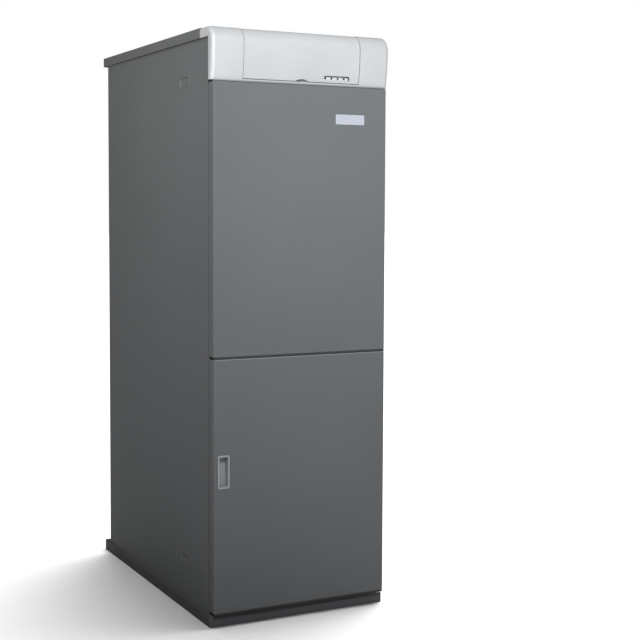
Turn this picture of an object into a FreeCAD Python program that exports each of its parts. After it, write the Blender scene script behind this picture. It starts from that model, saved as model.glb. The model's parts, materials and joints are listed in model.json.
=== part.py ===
import FreeCAD, Part
import math
import os

# Floor-standing oil boiler with a built-in hot water tank, in millimetres.
# Front faces -Y, +X is to the right seen from the front, +Z is up.
# The origin is the middle of the bounding box, on the floor.

# Casing
overall_height = 1400.0
casing_width = 454.0
casing_depth = 735.0
casing_sheet = 1.5
casing_flange = 22.0
top_skin = 2.5
rear_panel_side_gap = 0.5
mark_length = 60.0
mark_height = 24.0
mark_depth = 0.8
mark_corner = 7.0
mark_from_front = 148.0
lower_mark_height = 125.0
upper_mark_below_top = 116.0

# Plinth
plinth_height = 27.5
plinth_sheet = 3.0
plinth_rim = 25.0
plinth_side_step = 4.0
plinth_front_step = 19.0
plinth_rear_step = 37.0
plinth_corner = 4.0

# Top cover
cover_skirt = 23.5
cover_side_step = 5.0
cover_rear_step = 31.0
cover_corner = 9.0
cover_edge = 2.0
cover_hood_gap = 0.5

# Front panels
panel_depth = 27.0
panel_gap = 6.0
panel_bend = 4.0
door_height = 598.0
door_floor_gap = 6.5
split_gap = 5.0
hood_panel_gap = 3.0

# Upper panel studs and their clips
stud_inset = 12.0
stud_from_end = 60.0
stud_post_radius = 5.0
stud_tip_radius = 3.0
stud_tip_length = 6.0
clip_collar_radius = 8.0
clip_collar = 0.7
clip_barrel_radius = 6.0
clip_barrel_length = 4.0

# Door hinges
hinge_inset = 8.0
hinge_set = 13.0
hinge_pin_radius = 3.0
hinge_strap = 3.0
hinge_strap_half = 8.0
hinge_collar_radius = 6.0
hinge_tab_height = 34.0
hinge_tab_sheet = 2.5
hinge_pin_grip = 4.0

# Magnet catches
magnet_depth = 8.0
magnet_width = 18.0
magnet_height = 28.0
magnet_end_distance = 90.0
catch_tab_sheet = 2.0
catch_tab_height = 24.0
catch_tab_inset = 4.5
catch_tab_width = 13.5

# Recessed handle
handle_from_edge = 10.0
handle_above_door_bottom = 296.0
handle_width = 30.0
handle_height = 79.0
handle_bezel = 4.5
handle_proud = 2.0
handle_depth = 17.0
handle_wall = 1.2
handle_corner = 4.0

# Badge place, a bare plate
badge_width = 77.5
badge_height = 24.0
badge_from_right = 61.5
badge_below_hood = 69.0
badge_thickness = 1.5
badge_corner = 3.0

# Hood and flap
hood_height = 123.0
hood_bulge = 3.0
hood_corner_radius = 36.0
hood_chin = 9.0
hood_arm_reach = 37.0
hood_end_radius = 8.0
hood_end_wall = 4.5
flap_width = 303.0
flap_gap = 1.5
flap_recess = 0.8
flap_wall = 2.5
flap_lip = 4.0
flap_bead_radius = 4.2
flap_hinge_setback = 38.0
flap_pin_radius = 2.0
flap_pin_grip = 14.0
cheek_margin = 10.0
notch_width = 34.0
notch_height = 5.0

# Lamp window
window_left = 57.0
window_length = 70.0
window_height = 11.0
window_above_hood_bottom = 10.5
strip_margin = 3.0
strip_flap_gap = 1.2
lamp_count = 4
lamp_pitch = 16.7
lamp_first = 7.0
lamp_radius = 2.2
lamp_proud = 0.8

# Control fascia
fascia_thickness = 3.0
fascia_height = 93.0
control_height = 60.0
control_box_depth = 92.0
control_box_wall = 2.0
control_box_side_gap = 8.0
control_box_end_gap = 5.0
boiler_knob_x = -42.0
hot_water_knob_x = 8.0
knob_radius = 17.0
knob_length = 10.0
knob_lift = 1.0
knob_edge = 2.0
knob_ridge = 6.0
knob_ridge_height = 2.5
knob_shaft_radius = 3.0
knob_boss_radius = 9.0
knob_boss_length = 12.0
main_rocker_x = 54.0
season_rocker_x = 88.0
rocker_width = 20.0
rocker_height = 28.0
rocker_tilt = 8.0
rocker_front = 7.0
rocker_dip = 3.0
rocker_back = 5.0
rocker_pin_radius = 1.5
rocker_pin_grip = 2.0
rocker_end_gap = 2.0
rocker_side_gap = 1.0
switch_rim = 3.0
switch_proud = 3.0
limit_button_x = 124.0
limit_button_radius = 6.0
limit_button_proud = 5.0
limit_button_length = 14.0
limit_button_flange = 2.0
limit_button_rim = 2.0
limit_button_lift = 0.5
gauge_x = -104.0
gauge_radius = 26.0
gauge_rim = 3.0
gauge_proud = 5.0
gauge_wall = 1.5
gauge_depth = 22.0
gauge_lens_thickness = 1.2
gauge_lens_inset = 0.6
needle_length = 18.0
needle_width = 2.0
needle_hub_radius = 3.5
needle_thickness = 0.8
needle_lift = 0.8
needle_spindle_radius = 1.0
needle_spindle_length = 6.0
needle_rest_turn = 120.0

# Boiler body
body_width = 330.0
body_height = 480.0
body_depth = 380.0
body_wall = 10.0
body_foot = 40.0
body_foot_width = 40.0
body_foot_inset = 25.0
body_rear_clearance = 105.0
body_sections = 4
section_groove = 4.0
section_groove_depth = 5.0
chamber_radius = 115.0
chamber_depth = 330.0
chamber_height = 160.0
turn_width = 200.0
turn_depth = 60.0
way_count = 4
way_width = 38.0
way_pitch = 50.0
way_below_top = 30.0
way_above_chamber = 45.0
baffle_sheet = 2.0
baffle_tabs = 5
baffle_tab_reach = 12.0
baffle_tab_margin = 17.0
baffle_inset = 30.0
jacket_board = 20.0
jacket_end_inset = 5.0

# Combustion door
burner_plate = 10.0
burner_plate_margin = 40.0
burner_plate_border = 22.0
gasket = 2.0
refractory_depth = 38.0
refractory_gap = 8.0
nut_inset = 15.0
nut_radius = 9.0
nut_height = 8.0
stud_radius = 5.0
stud_end = 5.0
stud_grip = 8.0

# Flue
flue_hood_width = 220.0
flue_hood_height = 150.0
flue_hood_depth = 60.0
flue_hood_wall = 3.0
flue_radius = 62.5
flue_wall = 2.0
flue_reach = 60.0
flue_panel_gap = 5.0
flue_bead = 4.0
flue_bead_height = 2.0

# Burner
tube_radius = 45.0
tube_wall = 3.0
tube_into_chamber = 80.0
tube_flange_half = 65.0
tube_flange = 8.0
burner_neck = 22.0
burner_half_width = 45.0
burner_wall = 4.0
scroll_radius = 92.0
scroll_drop = 20.0
scroll_to_neck = 95.0
duct_half_height = 52.0
platform_lift = 4.0
platform_front_reach = 30.0
intake_half_width = 40.0
intake_half_length = 23.0
intake_wall = 3.0
intake_height = 42.0
intake_bite = 6.0
damper_sheet = 2.0
damper_gap = 1.5
damper_rod_radius = 3.0
damper_lift = 21.0
damper_rod_out = 6.0
damper_lever = 22.0
damper_lever_width = 8.0
damper_lever_sheet = 4.0
shaft_hole_radius = 14.0
motor_radius = 50.0
motor_length = 120.0
motor_wall = 7.0
motor_cap = 6.0
motor_cap_inset = 5.0
motor_fins = 6
motor_fin_groove = 3.0
motor_fin_depth = 3.0
rotor_gap = 3.0
rotor_length = 66.0
shaft_radius = 4.0
coupling_radius = 8.0
coupling_length = 16.0
fan_radius = 70.0
fan_inner_radius = 54.0
fan_width = 56.0
fan_sheet = 2.0
fan_blades = 24
fan_blade_sheet = 1.6
fan_hub_radius = 12.0
fan_hub_length = 22.0
pump_length = 52.0
pump_half = 30.0
pump_bore = 17.0
solenoid_radius = 15.0
solenoid_height = 36.0
pump_port_radius = 7.0
pump_port_length = 18.0
pump_port_pitch = 26.0
pump_screw_radius = 8.0
pump_screw_length = 6.0
fuel_pipe_radius = 3.0
fuel_pipe_run = 25.0
fuel_pipe_lift = 10.0
transformer_width = 76.0
transformer_length = 60.0
transformer_height = 52.0
transformer_rear_gap = 4.0
control_width = 72.0
control_length = 54.0
control_tall = 46.0
control_front_gap = 2.0
case_edge = 4.0
reset_radius = 9.0
reset_proud = 7.0
reset_depth = 5.0
reset_edge = 1.5
reset_bore_depth = 10.0
line_radius = 6.0
line_back = 18.0
nozzle_radius = 9.0
nozzle_length = 16.0
nozzle_short_of_tube = 14.0
disc_radius = 40.0
disc_sheet = 2.0
disc_slots = 8
disc_slot_width = 2.5
disc_slot_start = 18.0
spoke_width = 5.0
spoke_depth = 4.0
spoke_from_neck = 10.0
spoke_turns = (60.0, 180.0, 300.0)
electrode_turns = (60.0, 300.0)
electrode_radius = 2.5
electrode_circle = 18.0
electrode_back = 12.0

# Shelf, tank and its jacket
shelf_above_split = 8.0
shelf_sheet = 3.0
shelf_flange = 40.0
shelf_rear_gap = 0.5
shelf_hole_gap = 6.0
tank_rear_gap = 6.0
insulation_radius = 195.0
insulation_wall = 28.0
insulation_top_gap = 135.0
tank_jacket_wall = 2.5
tank_jacket_dome = 45.0
tank_foot_height = 12.0
tank_foot_radius = 108.0
tank_foot_wall = 6.0
tank_radius = 140.0
tank_wall = 2.0
tank_dome = 45.0
tank_end_gap = 14.0
neck_radius = 50.0
neck_wall = 3.0
neck_flange_radius = 72.0
neck_flange = 8.0
neck_above_insulation = 2.0
flange_plate = 8.0
flange_bolts = 6
flange_bolt_radius = 4.0
flange_bolt_head = 6.0
flange_bolt_circle = 61.0
dip_tube_radius = 9.0
dip_tube_offset = 24.0
dip_tube_length = 480.0
anode_radius = 10.0
anode_length = 360.0
anode_offset = 26.0
nozzle_end_gap = 10.0
jacket_nozzle_radius = 14.0

# Pipes, pumps and safety parts
pipe_radius = 11.0
pipe_wall = 2.0
manifold_radius = 13.0
header_radius = 15.0
manifold_lift = 50.0
stub_radius = 13.2
stub_thread = 22.0
stub_reach = 27.5
stub_panel_gap = 2.5
return_x = 130.0
return_lift = 40.0
side_run_x = 210.0
side_bend_before_panel = 80.0
side_bend = 50.0
side_stub_x = 165.0
tap_stub_x = 70.0
tap_pipe_lift = 30.0
tap_bend = 60.0
pump_x = 105.0
flow_from_body_front = 40.0
pump_above_shelf = 145.0
pump_half_length = 65.0
outlet_lift = 50.0
jacket_return_lift = 55.0
jacket_return_y_gap = 26.0
volute_radius = 46.0
volute_half = 25.0
volute_wall = 6.0
union_radius = 22.0
union_height = 20.0
pump_motor_radius = 42.0
pump_motor_length = 80.0
terminal_width = 34.0
terminal_length = 50.0
terminal_height = 54.0
terminal_proud = 2.0
terminal_bite = 10.5
speed_knob_radius = 10.0
speed_knob_proud = 9.0
speed_knob_ridge = 4.0
speed_knob_ridge_height = 3.0
speed_spindle_radius = 3.0
speed_spindle_length = 8.0
speed_knob_lift = 0.3
vessel_radius = 140.0
vessel_depth = 110.0
vessel_dome = 14.0
vessel_wall = 2.0
vessel_seam = 5.0
vessel_seam_width = 8.0
vessel_above_shelf = 440.0
vessel_nipple_radius = 9.0
vessel_nipple_length = 18.0
vessel_nipple_inside = 2.0
rail_height = 40.0
rail_depth = 14.0
rail_sheet = 2.5
rail_before_pumps = 26.0
boss_radius = 12.0
boss_height = 18.0
vent_base_radius = 14.0
vent_base_height = 27.0
vent_radius = 19.0
vent_height = 50.0
vent_cap_radius = 6.0
vent_cap_height = 10.0
relief_radius = 11.0
relief_length = 36.0
relief_spindle_radius = 4.0
relief_spindle_length = 10.0
relief_knob_radius = 16.0
relief_knob_length = 20.0
relief_knob_lift = 0.3

# Rear glands and screws
gland_collar_radius = 14.0
gland_collar = 6.0
gland_barrel_radius = 11.0
gland_barrel = 10.0
gland_bore_radius = 6.0
gland_from_side = 77.0
cable_gland_below_top = 70.0
oil_gland_height = 85.0
oil_gland_pitch = 38.0
louvre_count = 9
louvre_pitch = 14.0
louvre_width = 70.0
louvre_height = 6.0
louvre_x = 120.0
louvre_bottom = 200.0
screw_head_radius = 5.0
screw_head = 2.5
screw_radius = 2.0
screw_count = 6
screw_inset = 11.0
screw_from_end = 70.0

# Clearances
running = 0.05
press = 0.02
moving = 0.3
past = 1.0

# Fixed forms
hexagon_sides = 6
parallel_limit = 1e-6
full_turn = 360.0


# Shape helpers

def point(x, y, z):
    return FreeCAD.Vector(x, y, z)


def mirrored(half):
    return (-half, half)


def around(centre, half):
    return (centre - half, centre + half)


def ordered(first, second):
    return (min(first, second), max(first, second))


def box(x, y, z):
    """Block between two values on each axis."""
    return Part.makeBox(x[1] - x[0], y[1] - y[0], z[1] - z[0], point(x[0], y[0], z[0]))


def rod_x(x, y, z, radius):
    return Part.makeCylinder(radius, x[1] - x[0], point(x[0], y, z), point(1, 0, 0))


def rod_y(x, y, z, radius):
    return Part.makeCylinder(radius, y[1] - y[0], point(x, y[0], z), point(0, 1, 0))


def rod_z(x, y, z, radius):
    return Part.makeCylinder(radius, z[1] - z[0], point(x, y, z[0]), point(0, 0, 1))


def fused(first, *others):
    return first.fuse(list(others)).removeSplitter()


def group(solids):
    return Part.makeCompound(solids)


def edges_along(shape, direction):
    """Straight edges of a shape that run along one axis."""
    found = []
    for edge in shape.Edges:
        ends = [vertex.Point for vertex in edge.Vertexes]
        if len(ends) == 2 and (ends[1] - ends[0]).normalize().cross(direction).Length < parallel_limit:
            found.append(edge)
    return found


def rounded_box(x, y, z, radius, direction):
    """Block with its four edges along one axis rounded."""
    block = box(x, y, z)
    return block.makeFillet(radius, edges_along(block, direction))


def rounded_drum(base, radius, height, dome, axis):
    """Cylinder with both rims rounded into domes."""
    drum = Part.makeCylinder(radius, height, base, axis)
    rims = [edge for edge in drum.Edges if len(edge.Vertexes) == 1]
    return drum.makeFillet(dome, rims)


def pipe_run(points, radius):
    """Straight rods between points, with a ball at each bend."""
    pieces = []
    for start, end in zip(points, points[1:]):
        way = end - start
        pieces.append(Part.makeCylinder(radius, way.Length, start, way))
    for bend in points[1:-1]:
        pieces.append(Part.makeSphere(radius, bend))
    return fused(*pieces) if len(pieces) > 1 else pieces[0]


def pipe(points, radius, wall):
    return pipe_run(points, radius).cut(pipe_run(points, radius - wall))


def hexagon_y(x, y, z, radius):
    """Six-sided bar along Y."""
    corners = []
    for step in range(hexagon_sides):
        angle = 2 * math.pi * step / hexagon_sides
        corners.append(point(x + radius * math.cos(angle), y[0], z + radius * math.sin(angle)))
    return Part.Face(Part.makePolygon(corners + corners[:1])).extrude(point(0, y[1] - y[0], 0))


# Places worked out from the sizes

x_axis = point(1, 0, 0)
y_axis = point(0, 1, 0)
z_axis = point(0, 0, 1)

half_width = casing_width / 2
inner_half = half_width - casing_sheet
panel_reach = panel_gap + panel_depth
case_front = (panel_reach + hood_bulge - casing_depth - flue_reach) / 2
case_rear = case_front + casing_depth
face = case_front - panel_reach
face_back = face + casing_sheet
panel_rear = face + panel_depth
flange_back = case_front + casing_sheet
rear_panel_rear = case_rear - casing_sheet
rear_panel_front = rear_panel_rear - casing_sheet
flue_end = case_rear + flue_reach
stub_end = rear_panel_rear + stub_reach
side_top = overall_height - top_skin

door_bottom = plinth_height + door_floor_gap
door_top = door_bottom + door_height
upper_bottom = door_top + split_gap
hood_bottom = overall_height - hood_height
upper_top = hood_bottom - hood_panel_gap

hood_half = half_width + cover_side_step
hood_front = face - hood_bulge
arm_rear = case_front + hood_arm_reach
arm_bottom = overall_height - cover_skirt
corner_y = hood_front + hood_corner_radius
corner_z = overall_height - hood_corner_radius
front_drop = corner_z - hood_bottom
front_radius = (front_drop ** 2 + hood_chin ** 2) / (2 * hood_chin)
flap_half = flap_width / 2
opening_half = flap_half + flap_gap
lip_top = hood_bottom + flap_lip
flap_bottom = lip_top + flap_gap
flap_hinge_y = hood_front + flap_hinge_setback
flap_hinge_z = overall_height - flap_recess - flap_bead_radius
opening_rear = flap_hinge_y + flap_bead_radius + flap_gap

fascia_rear = panel_rear
fascia_front = fascia_rear - fascia_thickness
fascia_bottom = hood_bottom + top_skin
fascia_top = fascia_bottom + fascia_height
control_z = hood_bottom + control_height
window_bottom = hood_bottom + window_above_hood_bottom
window_z = window_bottom + window_height / 2
flap_inside = flap_recess + flap_wall

door_hinge_x = half_width - hinge_inset
door_hinge_y = face + hinge_set
stud_x = half_width - stud_inset
stud_levels = (upper_bottom + stud_from_end, upper_top - stud_from_end)
magnet_levels = (door_bottom + magnet_end_distance, door_top - magnet_end_distance)
magnet_front = case_front - magnet_depth

handle_x = -half_width + handle_from_edge + handle_width / 2
handle_z = door_bottom + handle_above_door_bottom + handle_height / 2
pocket_half_width = handle_width / 2 - handle_bezel
pocket_half_height = handle_height / 2 - handle_bezel

body_half = body_width / 2
body_rear = rear_panel_front - body_rear_clearance
body_front = body_rear - body_depth
body_bottom = plinth_height + body_foot
body_top = body_bottom + body_height
chamber_z = body_bottom + chamber_height
way_bottom = chamber_z + chamber_radius + way_above_chamber
way_top = body_top - way_below_top
way_centres = [(index - (way_count - 1) / 2) * way_pitch for index in range(way_count)]
flue_z = (way_bottom + way_top) / 2

plate_rear = body_front - gasket
plate_front = plate_rear - burner_plate
plate_half = turn_width / 2 + burner_plate_margin
plate_low = chamber_z - chamber_radius - burner_plate_border
plate_high = way_top + burner_plate_border
nut_x = plate_half - nut_inset
nut_levels = (plate_low + nut_inset, plate_high - nut_inset)

tube_inner = tube_radius - tube_wall
duct_rear = plate_front - tube_flange - burner_neck
tube_end = body_front + tube_into_chamber
fan_y = duct_rear - scroll_to_neck
fan_z = chamber_z - scroll_drop
platform_front = fan_y - platform_front_reach
platform_top = fan_z + scroll_radius + platform_lift
intake_bottom = fan_z - scroll_radius - intake_height
damper_z = intake_bottom + damper_lift
motor_end = burner_half_width + motor_length
pump_end = -burner_half_width - pump_length
control_front = platform_front + control_front_gap

shelf_top = upper_bottom + shelf_above_split
shelf_rear = rear_panel_front - shelf_rear_gap
tank_y = rear_panel_front - tank_rear_gap - insulation_radius
insulation_top = overall_height - insulation_top_gap
cavity_bottom = shelf_top + insulation_wall
cavity_top = insulation_top - insulation_wall
cavity_radius = insulation_radius - insulation_wall
tank_jacket_radius = cavity_radius - moving
tank_jacket_bottom = cavity_bottom + tank_foot_height
tank_jacket_top = cavity_top - moving
tank_bottom = tank_jacket_bottom + tank_end_gap
tank_top = tank_jacket_top - tank_end_gap
neck_top = insulation_top + neck_above_insulation + neck_flange
flange_top = neck_top + flange_plate
pipe_foot = neck_top + flange_plate / 2
tap_z = flange_top + tap_pipe_lift

flow_y = body_front + flow_from_body_front
manifold_z = shelf_top + manifold_lift
pump_z = shelf_top + pump_above_shelf
pump_low = pump_z - pump_half_length
pump_high = pump_z + pump_half_length
outlet_z = pump_high + outlet_lift
jacket_nozzle_front = tank_y - math.sqrt(insulation_radius ** 2 - pump_x ** 2) - nozzle_end_gap
jacket_return_y = jacket_nozzle_front - jacket_return_y_gap
jacket_return_z = shelf_top + jacket_return_lift
pump_motor_rear = flow_y - volute_half
pump_motor_front = pump_motor_rear - pump_motor_length
terminal_front = pump_motor_front - terminal_proud
terminal_x = pump_motor_radius + terminal_width / 2 - terminal_bite
rail_front = flow_y - rail_before_pumps
vessel_front = rail_front - vessel_depth
vessel_y = rail_front - vessel_depth / 2
vessel_z = shelf_top + vessel_above_shelf
vessel_nipple_end = vessel_z - vessel_radius - vessel_seam - vessel_nipple_length
boss_top = outlet_z + boss_height
relief_z = boss_top + vent_base_height / 2
relief_end = -pump_x - vent_base_radius - relief_length
return_z = body_bottom + return_lift
side_bend_y = rear_panel_front - side_bend_before_panel
tap_bend_y = tank_y + tap_bend

screw_gap = (side_top - plinth_height - 2 * screw_from_end) / (screw_count - 1)
screw_levels = [plinth_height + screw_from_end + screw_gap * index for index in range(screw_count)]
screw_x = half_width - screw_inset
gland_x = gland_from_side - half_width
gland_places = [
    (gland_x, overall_height - cable_gland_below_top),
    (gland_x, oil_gland_height),
    (gland_x + oil_gland_pitch, oil_gland_height),
]
stub_places = [
    (-side_stub_x, outlet_z),
    (return_x, return_z),
    (-tap_stub_x, tap_z),
    (tap_stub_x, tap_z),
]


# Casing

def plinth():
    """Folded base tray with an inward rim to stand on."""
    half = half_width + plinth_side_step
    front = case_front - plinth_front_step
    rear = case_rear + plinth_rear_step
    tray = rounded_box(mirrored(half), (front, rear), (0, plinth_height), plinth_corner, z_axis)
    hollow = box(
        mirrored(half - plinth_sheet),
        (front + plinth_sheet, rear - plinth_sheet),
        (plinth_sheet, plinth_height - plinth_sheet),
    )
    mouth = box(
        mirrored(half - plinth_rim),
        (front + plinth_rim, rear - plinth_rim),
        (-past, plinth_sheet + past),
    )
    return tray.cut(hollow).cut(mouth)


def stamped_mark(side, z):
    """Shallow rounded pocket pressed into the outside of a side panel."""
    x = ordered(side * (half_width - mark_depth), side * (half_width + past))
    y = (case_front + mark_from_front - mark_length / 2, case_front + mark_from_front + mark_length / 2)
    return rounded_box(x, y, around(z, mark_height / 2), mark_corner, x_axis)


def side_panel(side):
    """Side sheet with inward flanges all round."""
    sheet = ordered(side * inner_half, side * half_width)
    flange = ordered(side * (half_width - casing_flange), side * half_width)
    long_way = (case_front, case_rear)
    tall = (plinth_height, side_top)
    panel = fused(
        box(sheet, long_way, tall),
        box(flange, (case_front, flange_back), tall),
        box(flange, (rear_panel_rear, case_rear), tall),
        box(flange, long_way, (side_top - casing_sheet, side_top)),
        box(flange, long_way, (plinth_height, plinth_height + casing_sheet)),
    )
    cuts = [stamped_mark(side, lower_mark_height), stamped_mark(side, overall_height - upper_mark_below_top)]
    front_through = (case_front - past, flange_back + past)
    rear_through = (rear_panel_rear - past, case_rear + past)
    for z in stud_levels:
        cuts.append(rod_y(side * stud_x, front_through, z, clip_barrel_radius + press))
    for z in screw_levels:
        cuts.append(rod_y(side * screw_x, rear_through, z, screw_radius + press))
    return panel.cut(cuts)


def rear_panel():
    """Back sheet between the side flanges, with its pipe holes and louvres."""
    through = (rear_panel_front - past, rear_panel_rear + past)
    panel = box(
        mirrored(inner_half - rear_panel_side_gap),
        (rear_panel_front, rear_panel_rear),
        (plinth_height + casing_sheet, side_top - casing_sheet),
    )
    cuts = [rod_y(0, through, flue_z, flue_radius + flue_panel_gap)]
    for x, z in stub_places:
        cuts.append(rod_y(x, through, z, stub_radius + stub_panel_gap))
    for x, z in gland_places:
        cuts.append(rod_y(x, through, z, gland_barrel_radius + press))
    for side in (-1, 1):
        for z in screw_levels:
            cuts.append(rod_y(side * screw_x, through, z, screw_radius + press))
        for index in range(louvre_count):
            z = louvre_bottom + louvre_pitch * index
            cuts.append(box(around(side * louvre_x, louvre_width / 2), through, (z, z + louvre_height)))
    return panel.cut(cuts)


def casing_screws():
    """Sheet screws that hold the rear panel to the side flanges."""
    screws = []
    for side in (-1, 1):
        for z in screw_levels:
            head = rod_y(side * screw_x, (case_rear, case_rear + screw_head), z, screw_head_radius)
            shank = rod_y(side * screw_x, (rear_panel_front - past, case_rear), z, screw_radius)
            screws.append(fused(head, shank))
    return group(screws)


def top_cover():
    """Lid with a skirt round three sides, open towards the hood."""
    front = arm_rear + cover_hood_gap
    rear = case_rear + cover_rear_step
    block = box(mirrored(hood_half), (front, rear), (arm_bottom, overall_height))
    corners = [edge for edge in edges_along(block, z_axis) if edge.CenterOfMass.y > rear - past]
    block = block.makeFillet(cover_corner, corners)
    rim = [
        edge for edge in block.Edges
        if edge.BoundBox.ZMin > overall_height - past and edge.BoundBox.YMax > front + past
    ]
    block = block.makeFillet(cover_edge, rim)
    hollow = box(
        mirrored(hood_half - top_skin),
        (front - past, rear - top_skin),
        (arm_bottom - past, overall_height - top_skin),
    )
    inner_corners = [edge for edge in edges_along(hollow, z_axis) if edge.CenterOfMass.y > front]
    return block.cut(hollow.makeFillet(cover_corner - top_skin, inner_corners))


def tray(z):
    """Front panel folded into a tray, bent softly round its face."""
    block = box(mirrored(half_width), (face, panel_rear), z)
    soft = [edge for edge in block.Edges if edge.BoundBox.YMin < panel_rear - past]
    block = block.makeFillet(panel_bend, soft)
    hollow = box(
        mirrored(inner_half),
        (face_back, panel_rear + past),
        (z[0] + casing_sheet, z[1] - casing_sheet),
    )
    inside_bend = panel_bend - casing_sheet
    inner = [edge for edge in hollow.Edges if edge.BoundBox.YMin < panel_rear - past]
    return block.cut(hollow.makeFillet(inside_bend, inner))


def upper_front_panel():
    """Clipped-on panel with four welded studs."""
    panel = tray((upper_bottom, upper_top))
    post_end = case_front - clip_collar - moving
    tip_end = flange_back + stud_tip_length
    studs = []
    for side in (-1, 1):
        for z in stud_levels:
            studs.append(rod_y(side * stud_x, (face_back, post_end), z, stud_post_radius))
            studs.append(rod_y(side * stud_x, (post_end, tip_end), z, stud_tip_radius))
    return fused(panel, *studs)


def panel_clips():
    """Spring bushes in the side flanges that grip the panel's studs."""
    clips = []
    for side in (-1, 1):
        for z in stud_levels:
            x = side * stud_x
            collar = rod_y(x, (case_front - clip_collar, case_front), z, clip_collar_radius)
            barrel = rod_y(x, (case_front, flange_back + clip_barrel_length), z, clip_barrel_radius)
            through = (case_front - clip_collar - past, flange_back + clip_barrel_length + past)
            bore = rod_y(x, through, z, stud_tip_radius + moving)
            clips.append(fused(collar, barrel).cut(bore))
    return group(clips)


def pocket(y, spare):
    """Outline of the handle's pocket, grown by a spare margin."""
    return rounded_box(
        around(handle_x, pocket_half_width + spare),
        y,
        around(handle_z, pocket_half_height + spare),
        handle_corner,
        y_axis,
    )


def lower_door():
    """Hinged lower panel with its handle cut-out, pin holes and catch tabs."""
    door = tray((door_bottom, door_top))
    pad_rear = magnet_front - moving
    left = -inner_half + catch_tab_inset
    tabs = []
    for z in magnet_levels:
        tall = around(z, catch_tab_height / 2)
        tabs.append(box((left, left + catch_tab_sheet), (face_back, pad_rear), tall))
        tabs.append(box((left, left + catch_tab_width), (pad_rear - catch_tab_sheet, pad_rear), tall))
    door = fused(door, *tabs)
    pin_hole = rod_z(
        door_hinge_x, door_hinge_y, (door_bottom - past, door_top + past), hinge_pin_radius + running
    )
    return door.cut([pocket((face - past, panel_rear), handle_wall + press), pin_hole])


def handle_cup():
    """Recessed pull: a bezel on the door's face and a pocket behind it."""
    bezel = rounded_box(
        around(handle_x, handle_width / 2),
        (face - handle_proud, face),
        around(handle_z, handle_height / 2),
        handle_corner,
        y_axis,
    )
    cup = pocket((face, face + handle_depth), handle_wall)
    hollow = pocket((face - handle_proud - past, face + handle_depth - handle_wall), 0)
    return fused(bezel, cup).cut(hollow)


def door_hinges():
    """Two straps with a pin each, above and below the door."""
    low = plinth_height
    strap_x = around(door_hinge_x, hinge_strap_half)
    low_strap = fused(
        box(strap_x, (door_hinge_y, case_front - past), (low, low + hinge_strap)),
        rod_z(door_hinge_x, door_hinge_y, (low, low + hinge_strap), hinge_strap_half),
        rod_z(door_hinge_x, door_hinge_y, (low, door_bottom - moving), hinge_collar_radius),
        rod_z(
            door_hinge_x, door_hinge_y, (low, door_bottom + casing_sheet + hinge_pin_grip), hinge_pin_radius
        ),
    )
    high = door_top + (split_gap - hinge_strap) / 2
    high_strap = fused(
        box(strap_x, (door_hinge_y, case_front), (high, high + hinge_strap)),
        rod_z(door_hinge_x, door_hinge_y, (high, high + hinge_strap), hinge_strap_half),
        rod_z(door_hinge_x, door_hinge_y, (door_top + moving, high), hinge_collar_radius),
        rod_z(
            door_hinge_x, door_hinge_y, (door_top - casing_sheet - hinge_pin_grip, high), hinge_pin_radius
        ),
        box(
            strap_x,
            (case_front - hinge_tab_sheet, case_front),
            (high - hinge_tab_height, high + hinge_strap),
        ),
    )
    return group([low_strap, high_strap])


def magnet_catches():
    """Two magnets on the left flange that hold the door shut."""
    left = -inner_half + past
    magnets = []
    for z in magnet_levels:
        block = box((left, left + magnet_width), (magnet_front, case_front), around(z, magnet_height / 2))
        magnets.append(block)
    return group(magnets)


def badge_plate():
    """Bare plate on the upper front panel."""
    right = half_width - badge_from_right
    high = hood_bottom - badge_below_hood
    return rounded_box(
        (right - badge_width, right),
        (face - badge_thickness, face),
        (high - badge_height, high),
        badge_corner,
        y_axis,
    )


# Hood

def front_y(z, inset):
    """Depth of the hood's convex face at a height, moved inwards by an inset."""
    return hood_front + front_radius - math.sqrt((front_radius - inset) ** 2 - (z - corner_z) ** 2)


def hood_line(inset, rear, low):
    """Edges from the hood's top rear, round its corner and down its face, and its two ends."""
    turn = math.sqrt(0.5) * (hood_corner_radius - inset)
    middle_z = (corner_z + low) / 2
    start = point(0, rear, overall_height - inset)
    bend = point(0, corner_y, overall_height - inset)
    nose = point(0, hood_front + inset, corner_z)
    end = point(0, front_y(low, inset), low)
    edges = [
        Part.LineSegment(start, bend).toShape(),
        Part.Arc(bend, point(0, corner_y - turn, corner_z + turn), nose).toShape(),
        Part.Arc(nose, point(0, front_y(middle_z, inset), middle_z), end).toShape(),
    ]
    return edges, start, end


def hood_prism(edges, x):
    """Closed outline of edges in the YZ plane, carried along X."""
    outline = Part.Face(Part.Wire(Part.__sortEdges__(edges)))
    outline.translate(point(x[0], 0, 0))
    return outline.extrude(point(x[1] - x[0], 0, 0))


def straight(points):
    return [Part.LineSegment(start, end).toShape() for start, end in zip(points, points[1:])]


def hood_outside():
    edges, start, end = hood_line(0, arm_rear, hood_bottom)
    closing = straight([
        end,
        point(0, panel_rear, hood_bottom),
        point(0, panel_rear, arm_bottom),
        point(0, arm_rear, arm_bottom),
        start,
    ])
    block = hood_prism(edges + closing, mirrored(hood_half))
    soft = []
    for edge in block.Edges:
        middle = edge.CenterOfMass
        on_end = edge.BoundBox.XLength < past and abs(middle.x) > hood_half - past
        on_top = edge.BoundBox.ZMin > overall_height - past
        on_front = middle.y < corner_y and middle.z > hood_bottom + past
        if on_end and (on_top or on_front):
            soft.append(edge)
    return block.makeFillet(hood_end_radius, soft)


def hood_inside(x):
    edges, start, end = hood_line(top_skin, arm_rear + past, hood_bottom + top_skin)
    closing = straight([end, point(0, arm_rear + past, hood_bottom + top_skin), start])
    return hood_prism(edges + closing, x)


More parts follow.
